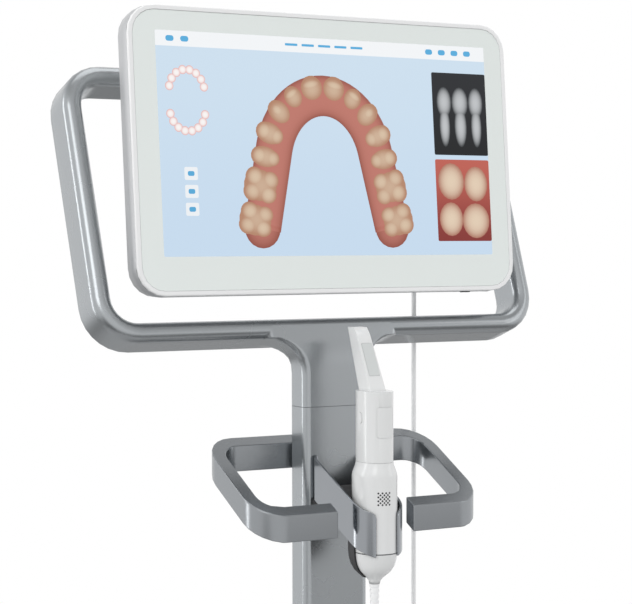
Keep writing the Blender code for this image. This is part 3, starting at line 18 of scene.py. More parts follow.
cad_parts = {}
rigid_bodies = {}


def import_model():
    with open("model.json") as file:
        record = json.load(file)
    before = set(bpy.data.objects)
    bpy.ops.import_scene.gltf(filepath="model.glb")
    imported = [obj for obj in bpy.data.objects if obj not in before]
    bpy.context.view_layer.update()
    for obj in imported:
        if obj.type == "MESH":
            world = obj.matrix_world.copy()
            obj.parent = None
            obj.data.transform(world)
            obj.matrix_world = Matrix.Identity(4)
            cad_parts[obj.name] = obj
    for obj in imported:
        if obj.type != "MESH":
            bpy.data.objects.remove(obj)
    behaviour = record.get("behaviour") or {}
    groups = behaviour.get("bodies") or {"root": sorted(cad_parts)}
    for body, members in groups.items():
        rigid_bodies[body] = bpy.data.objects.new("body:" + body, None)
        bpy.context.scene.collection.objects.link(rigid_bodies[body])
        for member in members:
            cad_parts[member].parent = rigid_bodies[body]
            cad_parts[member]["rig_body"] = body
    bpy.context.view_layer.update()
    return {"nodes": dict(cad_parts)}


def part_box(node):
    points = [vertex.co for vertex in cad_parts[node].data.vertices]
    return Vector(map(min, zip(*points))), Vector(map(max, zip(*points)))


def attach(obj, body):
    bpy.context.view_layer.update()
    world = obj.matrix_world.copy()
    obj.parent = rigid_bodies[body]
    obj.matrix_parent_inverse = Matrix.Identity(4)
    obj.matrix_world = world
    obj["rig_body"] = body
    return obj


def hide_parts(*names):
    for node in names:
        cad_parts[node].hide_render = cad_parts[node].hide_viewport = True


logging.basicConfig(level=logging.INFO, format="%(message)s")
LOG = logging.getLogger("scanner")

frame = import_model()

MM = 0.001
Colour = tuple[float, float, float]
Point = tuple[float, float, float]


class Signal:
    """A shader socket that takes part in Python arithmetic."""

    def __init__(self, graph: "Nodes", socket: bpy.types.NodeSocket) -> None:
        """Wrap a socket.

        Args:
            graph: The nodes that the socket belongs to.
            socket: An output socket.
        """
        self.graph = graph
        self.socket = socket

    def _math(self, operation: str, first: "Signal | float", second: "Signal | float" = 0.0) -> "Signal":
        """Add a Math node.

        Args:
            operation: The node's operation.
            first: First operand.
            second: Second operand.

        Returns:
            The node's result.
        """
        node = self.graph.add("ShaderNodeMath", {"operation": operation}, {0: first, 1: second})
        return Signal(self.graph, node.outputs[0])

    def __add__(self, other: "Signal | float") -> "Signal":
        """Sum."""
        return self._math("ADD", self, other)

    __radd__ = __add__

    def __rsub__(self, other: float) -> "Signal":
        """A number less this."""
        return self._math("SUBTRACT", other, self)

    def __mul__(self, other: "Signal | float") -> "Signal":
        """Product."""
        return self._math("MULTIPLY", self, other)

    def __gt__(self, other: "Signal | float") -> "Signal":
        """One where this is greater, else zero."""
        return self._math("GREATER_THAN", self, other)

    def __abs__(self) -> "Signal":
        """Size without sign."""
        return self._math("ABSOLUTE", self)

    def sine(self) -> "Signal":
        """Sine."""
        return self._math("SINE", self)

    def root(self) -> "Signal":
        """Square root."""
        return self._math("SQRT", self)

    def step(self, low: float, high: float) -> "Signal":
        """Ease from zero at low to one at high.

        Args:
            low: Value that gives zero.
            high: Value that gives one.

        Returns:
            The eased value.
        """
        node = self.graph.add("ShaderNodeMapRange", {"interpolation_type": "SMOOTHSTEP"},
                              {"Value": self, "From Min": low, "From Max": high})
        return Signal(self.graph, node.outputs[0])


class Nodes:
    """The nodes of one shader tree."""

    def __init__(self, tree: bpy.types.NodeTree) -> None:
        """Work on a tree."""
        self.tree = tree

    def add(self, kind: str, settings: dict | None = None, inputs: dict | None = None) -> bpy.types.Node:
        """Add a node.

        Args:
            kind: The node's type.
            settings: Properties, set first.
            inputs: Values or signals by socket name or number.

        Returns:
            The node.
        """
        node = self.tree.nodes.new(kind)
        for key, value in (settings or {}).items():
            if key == "stops":
                self._stops(node, value)
            else:
                setattr(node, key, value)
        for key, value in (inputs or {}).items():
            self.feed(node.inputs[key], value)
        return node

    @staticmethod
    def _stops(node: bpy.types.Node, stops: Sequence[tuple[float, Colour]]) -> None:
        """Set a colour ramp's stops."""
        ramp = node.color_ramp
        while len(ramp.elements) < len(stops):
            ramp.elements.new(0.5)
        for element, (place, colour) in zip(ramp.elements, stops):
            element.position = place
            element.color = (*colour, 1.0)

    def feed(self, socket: bpy.types.NodeSocket, value: object) -> None:
        """Link a signal to a socket, or set the socket's value."""
        if isinstance(value, Signal):
            self.tree.links.new(value.socket, socket)
        elif isinstance(value, tuple) and len(value) == 3 and socket.type == "RGBA":
            socket.default_value = (*value, 1.0)
        else:
            socket.default_value = value

    def axes(self, vector: Signal) -> tuple[Signal, Signal, Signal]:
        """Split a vector into its three numbers."""
        node = self.add("ShaderNodeSeparateXYZ", None, {0: vector})
        return tuple(Signal(self, socket) for socket in node.outputs)

    def mix(self, share: Signal | float, first: object, second: object) -> Signal:
        """Blend two colours.

        Args:
            share: Share of the second.
            first: Colour or signal.
            second: Colour or signal.

        Returns:
            The blend.
        """
        node = self.add("ShaderNodeMix", {"data_type": "RGBA"}, {0: share, 6: first, 7: second})
        return Signal(self, node.outputs[2])

    def ramp(self, value: Signal, stops: Sequence[tuple[float, Colour]]) -> Signal:
        """A colour ramp over a value between zero and one."""
        return Signal(self, self.add("ShaderNodeValToRGB", {"stops": stops}, {0: value}).outputs[0])


class Graph(Nodes):
    """The nodes of one Principled material."""

    def __init__(self, name: str, colour: Colour, roughness: float, metallic: float = 0.0) -> None:
        """Start a material.

        Args:
            name: The material's name.
            colour: Base colour.
            roughness: Roughness.
            metallic: Metallic share.
        """
        self.material = bpy.data.materials.new(name)
        self.material.use_nodes = True
        super().__init__(self.material.node_tree)
        self.shader = self.tree.nodes["Principled BSDF"]
        self.material.diffuse_color = (*colour, 1.0)
        self.set("Base Color", colour)
        self.set("Roughness", roughness)
        self.set("Metallic", metallic)

    def set(self, name: str, value: object) -> "Graph":
        """Set or link an input of the shader."""
        self.feed(self.shader.inputs[name], value)
        return self

    def place(self, centre: Point = (0.0, 0.0, 0.0), stretch: Point = (1.0, 1.0, 1.0),
              turn: Point = (0.0, 0.0, 0.0)) -> Signal:
        """Object coordinates about a centre.

        Args:
            centre: Point that becomes the origin.
            stretch: Factors along the axes, before the turn.
            turn: Angles about the axes.

        Returns:
            The vector.
        """
        source = self.add("ShaderNodeTexCoord")
        shift = self.add("ShaderNodeVectorMath", {"operation": "SUBTRACT"},
                         {0: Signal(self, source.outputs["Object"]), 1: centre})
        mapped = self.add("ShaderNodeMapping", {"vector_type": "POINT"},
                          {"Vector": Signal(self, shift.outputs[0]), "Rotation": turn, "Scale": stretch})
        return Signal(self, mapped.outputs[0])

    def noise(self, scale: float, detail: float = 3.0, vector: Signal | None = None) -> Signal:
        """Noise between zero and one.

        Args:
            scale: Scale of the pattern, per metre.
            detail: Octaves.
            vector: Coordinates, else the object's own.

        Returns:
            The noise.
        """
        node = self.add("ShaderNodeTexNoise", None,
                        {"Vector": vector or self.place(), "Scale": scale, "Detail": detail})
        return Signal(self, node.outputs[0])

    def bump(self, height: Signal, distance: float, strength: float = 1.0) -> "Graph":
        """Feed a height to the shader's normal.

        Args:
            height: Height between zero and one.
            distance: Metres that one stands for.
            strength: Strength of the effect.

        Returns:
            This graph.
        """
        node = self.add("ShaderNodeBump", None,
                        {"Height": height, "Distance": distance, "Strength": strength})
        return self.set("Normal", Signal(self, node.outputs[0]))


def tinted(colour: Colour, factor: float, lift: float = 0.0) -> Colour:
    """A colour times a factor, with a little added, kept at or under one."""
    return tuple(min(1.0, value * factor + lift) for value in colour)


@dataclass(frozen=True)
class Finish:
    """A finish of one piece or family of pieces.

    Attributes:
        name: Name of the material.
        slot: The record's material slot that it belongs to.
        colour: Base colour.
        roughness: Roughness.
        metallic: Metallic share.
    """

    name: str
    slot: str
    colour: Colour
    roughness: float
    metallic: float = 0.0

    def detail(self, graph: Graph) -> None:
        """Add the finish's own nodes to the plain shader."""

    def material(self) -> bpy.types.Material:
        """The finish's material, made once."""
        made = bpy.data.materials.get(self.name)
        if made is None:
            graph = Graph(self.name, self.colour, self.roughness, self.metallic)
            self.detail(graph)
            made = graph.material
        return made


@dataclass(frozen=True)
class SatinMetal(Finish):
    """Silver satin metal: a fine flake, faint orange peel and soft smudges.

    Attributes:
        flake: How much the flake lightens and darkens the colour.
        flake_scale: Scale of the flake, per metre.
        smudge_scale: Scale of the smudges, per metre.
        peel_scale: Scale of the orange peel, per metre.
        peel: Depth of the orange peel.
    """

    flake: float = 0.03
    flake_scale: float = 5200.0
    smudge_scale: float = 9.0
    peel_scale: float = 900.0
    peel: float = 0.004 * MM

    def detail(self, graph: Graph) -> None:
        """Add flake, orange peel and smudges."""
        cloud = graph.noise(self.smudge_scale, 3.0)
        grain = graph.noise(self.flake_scale, 1.0)
        shade = graph.mix(grain * 0.8 + cloud * 0.2, tinted(self.colour, 1 - self.flake),
                          tinted(self.colour, 1 + self.flake))
        graph.set("Base Color", shade)
        graph.set("Roughness", self.roughness - 0.015 + cloud * 0.03)
        graph.bump(graph.noise(self.peel_scale, 1.0), self.peel, 0.3)


@dataclass(frozen=True)
class BrushedSteel(Finish):
    """Brushed sheet steel, its lines running along the strap.

    Attributes:
        line_scale: Scale of the brush lines, per metre.
        line_stretch: How much finer the lines are up than along.
        line_depth: Depth of the lines.
    """

    line_scale: float = 60.0
    line_stretch: float = 40.0
    line_depth: float = 0.004 * MM

    def detail(self, graph: Graph) -> None:
        """Add the brush lines and soft stains."""
        lines = graph.noise(self.line_scale, 3.0, graph.place(stretch=(1.0, 1.0, self.line_stretch)))
        stain = graph.noise(24.0, 3.0)
        graph.set("Base Color", graph.mix(lines * 0.75 + stain * 0.25, tinted(self.colour, 0.96),
                                          tinted(self.colour, 1.04)))
        graph.set("Roughness", self.roughness - 0.03 + lines * 0.06)
        graph.bump(lines, self.line_depth, 0.3)


@dataclass(frozen=True)
class GlossWhite(Finish):
    """Gloss white moulding with a clear coat and the faint waviness of a moulded wall."""

    wave: float = 0.00002

    def detail(self, graph: Graph) -> None:
        """Add coat, waviness and handling haze."""
        haze = graph.noise(30.0, 3.0)
        graph.set("Base Color", graph.mix(haze, tinted(self.colour, 0.985), self.colour))
        graph.set("Roughness", self.roughness - 0.03 + haze * 0.06)
        graph.set("Coat Weight", 0.35)
        graph.set("Coat Roughness", 0.06)
        graph.bump(graph.noise(60.0, 2.0), self.wave, 0.3)


@dataclass(frozen=True)
class Moulding(Finish):
    """Moulded plastic or rubber with an eroded, fine-grained skin."""

    grain: float = 1800.0
    depth: float = 0.00003

    def detail(self, graph: Graph) -> None:
        """Add the grain and a little dust."""
        skin_grain = graph.noise(self.grain, 2.0)
        dust = graph.noise(40.0, 4.0)
        graph.set("Base Color", graph.mix(dust, self.colour, tinted(self.colour, 1.12, 0.004)))
        graph.set("Roughness", self.roughness - 0.05 + skin_grain * 0.1)
        graph.bump(skin_grain, self.depth, 0.6)


@dataclass(frozen=True)
class PrintedGlass(Finish):
    """Glass printed from behind, with a hard clean gloss."""

    def detail(self, graph: Graph) -> None:
        """Add the gloss and a trace of finger haze."""
        haze = graph.noise(16.0, 4.0)
        graph.set("Base Color", graph.mix(haze, tinted(self.colour, 0.985), self.colour))
        graph.set("Roughness", self.roughness + haze * 0.04)
        graph.set("Coat Weight", 0.3)
        graph.set("Coat Roughness", 0.03)
        graph.bump(haze, 0.00001, 0.2)


@dataclass(frozen=True)
class CircuitBoard(Finish):
    """Green solder mask over copper runs."""

    def detail(self, graph: Graph) -> None:
        """Add the copper runs."""
        across, _, up = graph.axes(graph.place())
        runs = abs((across * 900.0 + graph.noise(30.0) * 6.0).sine()) > 0.86
        rows = abs((up * 1100.0).sine()) > 0.9
        graph.set("Base Color", graph.mix(runs * 0.5 + rows * 0.4, self.colour, (0.08, 0.33, 0.12)))
        graph.set("Roughness", self.roughness + graph.noise(200.0) * 0.1)
        graph.bump(runs * 0.5 + rows * 0.5, 0.00004, 0.5)


@dataclass(frozen=True)
class WheelFinish(Finish):
    """Grey tyre on a paler moulded hub, told apart by the distance from the axle."""

    axle: Point = (0.0, 0.0, 0.0)
    rim: float = 28.5 * MM
    hub: Colour = (0.34, 0.35, 0.36)

    def detail(self, graph: Graph) -> None:
        """Add the two colours, the tyre's mould lines and scuffs."""
        across, along, up = graph.axes(graph.place(self.axle))
        radius = (along * along + up * up).root()
        tyre = radius > self.rim
        scuff = graph.noise(160.0, 4.0)
        tread = graph.mix(scuff, self.colour, tinted(self.colour, 1.7))
        graph.set("Base Color", graph.mix(tyre, self.hub, tread))
        graph.set("Roughness", 0.36 + tyre * 0.2 + scuff * 0.08)
        rings = abs((across * 2600.0).sine())
        graph.bump(rings * tyre * 0.6 + scuff * 0.4, 0.0001, 0.5)


@dataclass(frozen=True)
class LitPixels(Finish):
    """A lit field of the screen under glass: a soft gradient down the field and a pixel grid.

    Attributes:
        lower: Colour at the field's lower end.
        span: Heights on the screen of its lower and upper ends.
        relief: Distances in front of the glass of the darkest and the lightest places, for a picture
            of something round.
        pitch: Waves of the pixel grid in a metre, in radians.
    """

    lower: Colour = (0.5, 0.5, 0.5)
    span: tuple[float, float] = (-130.0 * MM, 130.0 * MM)
    relief: tuple[float, float] | None = None
    pitch: float = 9000.0

    def detail(self, graph: Graph) -> None:
        """Add the gradient, the grid and the glass's gloss."""
        across, up, out = graph.axes(graph.place(SCREEN.face, turn=(SCREEN.lean - math.pi / 2, 0.0, 0.0)))
        share = up.step(*self.span) if self.relief is None else out.step(*self.relief)
        grid = abs((across * self.pitch).sine()) * abs((up * self.pitch).sine())
        lit = graph.mix(share, self.lower, self.colour)
        graph.set("Base Color", (0.0, 0.0, 0.0))
        graph.set("Specular IOR Level", 0.3)
        graph.set("Emission Color", graph.mix(grid * 0.06, lit, (0.0, 0.0, 0.0)))
        graph.set("Emission Strength", 1.0)
        graph.set("Roughness", self.roughness + grid * 0.03)


@dataclass(frozen=True)
class DisplayPlane:
    """The display's own flat frame: x across, y up along the glass, z out of the glass.

    Attributes:
        face: Middle of the display's front plane.
        lean: Its lean, backwards at the top.
        glass: Place of the glass's front, out from that plane.
    """

    face: Point = (0.0, -0.054897, 1.102615)
    lean: float = math.radians(4.87)
    glass: float = -0.8 * MM

    def matrix(self) -> Matrix:
        """The frame's matrix."""
        sine, cosine = math.sin(self.lean), math.cos(self.lean)
        turn = Matrix(((1.0, 0.0, 0.0), (0.0, sine, -cosine), (0.0, cosine, sine))).to_4x4()
        return Matrix.Translation(self.face) @ turn


SCREEN = DisplayPlane()

SATIN = SatinMetal("satin_silver", "satin_metal", (0.385, 0.405, 0.42), 0.27, 0.95)
# The ring handle's copy of the satin metal is darker than the column's: painted shade, for the dark
# surroundings that it reflects.
RING_SATIN_PAINTED_SHADE = SatinMetal("satin_ring_painted_shade", "satin_metal", (0.30, 0.315, 0.33), 0.24, 0.95)
BASE_SATIN = SatinMetal("satin_silver_base", "satin_metal", (0.34, 0.35, 0.36), 0.34, 0.92)
STEEL = BrushedSteel("brushed_strap", "brushed_steel", (0.31, 0.325, 0.345), 0.17, 1.0)
WHITE = GlossWhite("gloss_white", "white_plastic", (0.79, 0.80, 0.80), 0.22)
# The front rim's copy of the gloss white is lighter than the housing's: painted light on the rim.
RIM_WHITE_PAINTED_LIGHT = GlossWhite("rim_white_painted_light", "white_plastic", (0.90, 0.905, 0.91), 0.2)
CORD_WHITE = Moulding("cord_white", "white_plastic", (0.87, 0.875, 0.88), 0.36, 0.0, 900.0, 0.00001)
RUBBER = Moulding("black_moulding", "black_plastic", (0.018, 0.018, 0.02), 0.5)
# Dark grey for the dark joints, and for the ring in the display's groove, which is painted shade.
JOINT_AND_GROOVE_SHADE = Moulding("grey_joint_and_groove_shade", "black_plastic", (0.10, 0.105, 0.11), 0.5)
GREY = Moulding("grey_moulding", "grey_plastic", (0.30, 0.31, 0.32), 0.5)
BEZEL = PrintedGlass("bezel_glass", "printed_glass", (0.85, 0.90, 0.88), 0.06)
BAND = SatinMetal("silver_band", "silver_band", (0.56, 0.565, 0.57), 0.24, 0.95)
WINDOW = PrintedGlass("nose_glass", "pale_window", (0.66, 0.685, 0.68), 0.12)
BOARD = CircuitBoard("green_board", "circuit_board", (0.02, 0.15, 0.06), 0.4)
BOLT = SatinMetal("bolt_steel", "bolt_steel", (0.5, 0.5, 0.5), 0.3, 1.0)


def activate(piece: bpy.types.Object) -> None:
    """Deselect everything, then select one piece and make it active."""
    bpy.ops.object.select_all(action="DESELECT")
    piece.select_set(True)
    bpy.context.view_layer.objects.active = piece


class Editing:
    """Edit mode on one piece, for the length of a with block."""

    def __init__(self, piece: bpy.types.Object) -> None:
        """Take the piece."""
        self.piece = piece

    def __enter__(self) -> "Editing":
        """Enter edit mode with nothing selected."""
        activate(self.piece)
        bpy.ops.object.mode_set(mode="EDIT")
        bpy.ops.mesh.select_all(action="DESELECT")
        return self

    def __exit__(self, *_: object) -> None:
        """Leave edit mode."""
        bpy.ops.object.mode_set(mode="OBJECT")

    def all(self) -> None:
        """Select the whole mesh."""
        bpy.ops.mesh.select_all(action="SELECT")

    def cut(self, height: float, **options: bool) -> None:
        """Cut the whole mesh along a level plane.

        Args:
            height: Height of the plane.
            options: The cut's options, such as use_fill.
        """
        self.all()
        bpy.ops.mesh.bisect(plane_co=(0.0, 0.0, height), plane_no=(0.0, 0.0, 1.0), **options)

    def face_out(self) -> None:
        """Select the whole mesh and turn its faces outwards."""
        self.all()
        bpy.ops.mesh.normals_make_consistent(inside=False)

    def verts(self, test: Callable[[Vector], bool]) -> None:
        """Select the vertices whose place passes a test, and nothing else."""
        bpy.ops.mesh.select_all(action="DESELECT")
        bpy.ops.mesh.select_mode(type="VERT")
        work = bmesh.from_edit_mesh(self.piece.data)
        for vert in work.verts:
            vert.select_set(test(vert.co))
        work.select_flush_mode()
        bmesh.update_edit_mesh(self.piece.data)

    def faces(self, test: Callable[[Vector, Vector], bool]) -> None:
        """Select the faces whose middle and normal pass a test, and nothing else."""
        bpy.ops.mesh.select_all(action="DESELECT")
        bpy.ops.mesh.select_mode(type="FACE")
        work = bmesh.from_edit_mesh(self.piece.data)
        for face in work.faces:
            face.select_set(test(face.calc_center_median(), face.normal))
        bmesh.update_edit_mesh(self.piece.data)


def placed(name: str, data: bpy.types.ID) -> bpy.types.Object:
    """A new object of the scene.

    Args:
        name: Its name.
        data: Its mesh, curve, lamp or camera.

    Returns:
        The object.
    """
    made = bpy.data.objects.new(name, data)
    bpy.context.scene.collection.objects.link(made)
    return made


def settle(piece: bpy.types.Object, matrix: Matrix | None = None) -> bpy.types.Object:
    """Move a piece by a matrix and put its place into its mesh.

    Args:
        piece: The piece.
        matrix: Further movement, from the frame that it was modelled in.

    Returns:
        The piece.
    """
    if matrix is not None:
        piece.matrix_world = matrix @ piece.matrix_world
    activate(piece)
    bpy.ops.object.transform_apply(location=True, rotation=True, scale=True)
    return piece


def joined(pieces: Sequence[bpy.types.Object]) -> bpy.types.Object:
    """Join pieces into the first."""
    activate(pieces[0])
    for piece in pieces:
        piece.select_set(True)
    bpy.ops.object.join()
    return pieces[0]


def copied(piece: bpy.types.Object, matrix: Matrix) -> bpy.types.Object:
    """A copy of a piece with its own mesh, moved by a matrix."""
    return settle(placed(piece.name, piece.data.copy()), matrix)


def discard(piece: bpy.types.Object) -> None:
    """Delete a pattern that its copies no longer need."""
    bpy.data.objects.remove(piece, do_unlink=True)


def apply_modifier(piece: bpy.types.Object, kind: str, **settings: object) -> None:
    """Add a modifier and apply it."""
    modifier = piece.modifiers.new("step", kind)
    for key, value in settings.items():
        setattr(modifier, key, value)
    activate(piece)
    bpy.ops.object.modifier_apply(modifier=modifier.name)


def round_bar(name: str, line: Sequence[Point], radius: float, resolution: int) -> bpy.types.Object:
    """A round bar along a line, as a curve with closed ends.

    Args:
        name: Its name.
        line: Points of its middle line.
        radius: Its radius.
        resolution: Fineness of its section.

    Returns:
        The curve's object.
    """
    curve = bpy.data.curves.new(name, "CURVE")
    curve.dimensions = "3D"
    curve.bevel_depth = radius
    curve.bevel_resolution = resolution
    curve.use_fill_caps = True
    spline = curve.splines.new("POLY")
    spline.points.add(len(line) - 1)
    for point, place in zip(spline.points, line):
        point.co = (*place, 1.0)
    spline.use_smooth = True
    return placed(name, curve)


def plate(size: tuple[float, float], centre: Point, radius: float, thickness: float,
          segments: int) -> bpy.types.Object:
    """A plate with round corners, flat in X and Y.

    Args:
        size: Width and height.
        centre: Middle of its lower face.
        radius: Radius of its corners.
        thickness: Its thickness, upwards.
        segments: Segments of a corner.

    Returns:
        The piece.
    """
    bpy.ops.object.select_all(action="DESELECT")
    bpy.ops.mesh.primitive_plane_add(size=1.0, location=centre)
    piece = bpy.context.active_object
    piece.scale = (*size, 1.0)
    settle(piece)
    with Editing(piece) as work:
        work.all()
        bpy.ops.mesh.bevel(offset=radius, segments=segments, affect="VERTICES")
        work.all()
        bpy.ops.mesh.extrude_region_move(TRANSFORM_OT_translate={"value": (0.0, 0.0, thickness)})
        work.face_out()
    return piece


def ring(size: tuple[float, float], centre: Point, radius: float, height: float,
         wall: float) -> bpy.types.Object:
    """A rounded rectangular ring, flat in X and Y.

    Args:
        size: Outer width and height.
        centre: Middle of its lower side.
        radius: Outer radius of its corners.
        height: Its height, upwards.
        wall: Its wall, inwards.

    Returns:
        The piece.
    """
    piece = plate(size, centre, radius, height, 12)
    with Editing(piece) as work:
        work.faces(lambda middle, normal: abs(normal.z) > 0.9)
        bpy.ops.mesh.inset(thickness=wall)
        bpy.ops.mesh.delete(type="FACE")
        bpy.ops.mesh.select_all(action="DESELECT")
        bpy.ops.mesh.select_mode(type="EDGE")
        bpy.ops.mesh.select_non_manifold()
        bpy.ops.mesh.bridge_edge_loops()
        work.face_out()
    return piece


def register(piece: bpy.types.Object, name: str, body: str, finish: Finish,
             replaced: Iterable[str] = ()) -> bpy.types.Object:
    """Name a finished piece, dress it and let it ride.

    Args:
        piece: The piece.
        name: Its name.
        body: The body that it moves with.
        finish: Its finish.
        replaced: Solids that it stands for.

    Returns:
        The piece.
    """
    piece.name = name
    piece.data.name = name
    piece.data.materials.clear()
    piece.data.materials.append(finish.material())
    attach(piece, body)
    for node in replaced:
        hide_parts(node)
    LOG.info("%s: %d faces on %s", name, len(getattr(piece.data, "polygons", ())), body)
    return piece


def body_of(node: str) -> str:
    """The body that a solid belongs to."""
    return frame["nodes"][node]["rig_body"]


def copy_of(node: str) -> bpy.types.Object:
    """A copy of a solid with its loose triangles merged."""
    piece = placed(node, frame["nodes"][node].data.copy())
    with Editing(piece) as work:
        work.all()
        bpy.ops.mesh.remove_doubles(threshold=0.01 * MM)
        bpy.ops.mesh.dissolve_limited(angle_limit=math.radians(0.2))
    return piece


def shade(piece: bpy.types.Object, angle: float) -> bpy.types.Object:
    """Shade a piece smooth across edges flatter than an angle in degrees, its flat faces kept flat."""
    activate(piece)
    bpy.ops.object.shade_smooth_by_angle(angle=math.radians(angle))
    apply_modifier(piece, "WEIGHTED_NORMAL", keep_sharp=True, weight=100)
    return piece


def skin(node: str, finish: Finish, angle: float, edge: float = 0.0) -> bpy.types.Object:
    """A smoothly shaded copy of a solid, which it stands for.

    Args:
        node: Name of the solid.
        finish: Its finish.
        angle: Edges flatter than this, in degrees, are shaded smooth.
        edge: Rounding of its sharp edges, if any.

    Returns:
        The piece.
    """
    piece = copy_of(node)
    if edge:
        apply_modifier(piece, "BEVEL", width=edge, segments=3, limit_method="ANGLE",
                       angle_limit=math.radians(50.0))
    shade(piece, angle)
    return register(piece, node + "_skin", body_of(node), finish, [node])


def slice_of(node: str, low: float, high: float, grow: float, name: str,
             finish: Finish) -> bpy.types.Object:
    """A thin level slice of a solid, for a gasket or seam that shows between two pieces.

    Args:
        node: Name of the solid.
        low: Lower height.
        high: Upper height.
        grow: How far its sides stand proud.
        name: The slice's name.
        finish: Its finish.

    Returns:
        The piece.
    """
    piece = copy_of(node)
    with Editing(piece) as work:
        for height, upper in ((low, False), (high, True)):
            work.cut(height, use_fill=True, clear_inner=not upper, clear_outer=upper)
        work.face_out()
        bpy.ops.transform.shrink_fatten(value=grow)
    return register(shade(piece, 40.0), name, body_of(node), finish)


class Assembly:
    """A sub-assembly of the scanner.

    Attributes:
        angle: Edges of its solids flatter than this, in degrees, are shaded smooth.
    """

    angle: float = 40.0

    def solids(self) -> dict[Finish, tuple[str, ...]]:
        """The solids that keep their shape, by finish."""
        return {}

    def edges(self) -> dict[str, float]:
        """Rounding of the sharp edges, by solid."""
        return {}

    def model(self) -> None:
        """Model the pieces that the solids leave out."""

    def build(self) -> None:
        """Dress the solids and add the fine pieces."""
        edges = self.edges()
        for finish, nodes in self.solids().items():
            for node in nodes:
                skin(node, finish, self.angle, edges.get(node, 0.0))
        self.model()
        LOG.info("%s is built", type(self).__name__)


@dataclass(frozen=True)
class Lamp:
    """A soft box.

    Attributes:
        name: Its name.
        place: Where it stands.
        aim: The point that it faces.
        size: Width and height.
        power: Watts.
    """

    name: str
    place: Point
    aim: Point
    size: tuple[float, float]
    power: float

    def build(self) -> None:
        """Add the lamp."""
        data = bpy.data.lights.new(self.name, "AREA")
        data.shape = "RECTANGLE"
        data.size, data.size_y = self.size
        data.energy = self.power
        lamp = placed(self.name, data)
        lamp.location = self.place
        way = Vector(self.aim) - Vector(self.place)
        lamp.rotation_euler = way.to_track_quat("-Z", "Y").to_euler()


@dataclass(frozen=True)
class Shade:
    """A darker stretch of the surround.

    Attributes:
        towards: Direction of its middle.
        reach: Cosines of its outer and inner edges.
        level: Share of the light that is left in its middle.
    """

    towards: Point
    reach: tuple[float, float]
    level: float


@dataclass
class Surround:
    """The pale backdrop all round: white about the horizon, greyer overhead and underneath.

    Attributes:
        stops: Light by height, from straight down at zero to straight up at one.
        shades: Darker stretches.
    """

    stops: tuple[tuple[float, float], ...] = (
        (0.0, 0.30), (0.25, 0.34), (0.35, 0.92), (0.39, 1.0), (0.80, 1.0), (0.90, 0.66), (1.0, 0.5))
    shades: tuple[Shade, ...] = (
        Shade((0.468, -0.749, -0.469), (0.905, 0.968), 0.5),
        Shade((-0.676, -0.568, -0.469), (0.905, 0.968), 0.5),
        Shade((0.60, -0.62, 0.50), (0.80, 0.97), 0.72),
    )

    def build(self) -> None:
        """Make the world."""
        world = bpy.data.worlds.new("surround")
        bpy.context.scene.world = world
        world.use_nodes = True
        graph = Nodes(world.node_tree)
        way = Signal(graph, graph.add("ShaderNodeTexCoord").outputs["Generated"])
        height = graph.axes(way)[2] * 0.5 + 0.5
        light = graph.ramp(height, [(place, (level, level, level)) for place, level in self.stops])
        for one in self.shades:
            aim = tuple(Vector(one.towards).normalized())
            facing = graph.add("ShaderNodeVectorMath", {"operation": "DOT_PRODUCT"}, {0: way, 1: aim})
            share = Signal(graph, facing.outputs["Value"]).step(*one.reach)
            left = (one.level, one.level, one.level)
            dark = graph.add("ShaderNodeMix", {"data_type": "RGBA", "blend_type": "MULTIPLY"},
                             {0: share, 6: light, 7: left})
            light = Signal(graph, dark.outputs[2])
        graph.feed(world.node_tree.nodes["Background"].inputs["Color"], light)


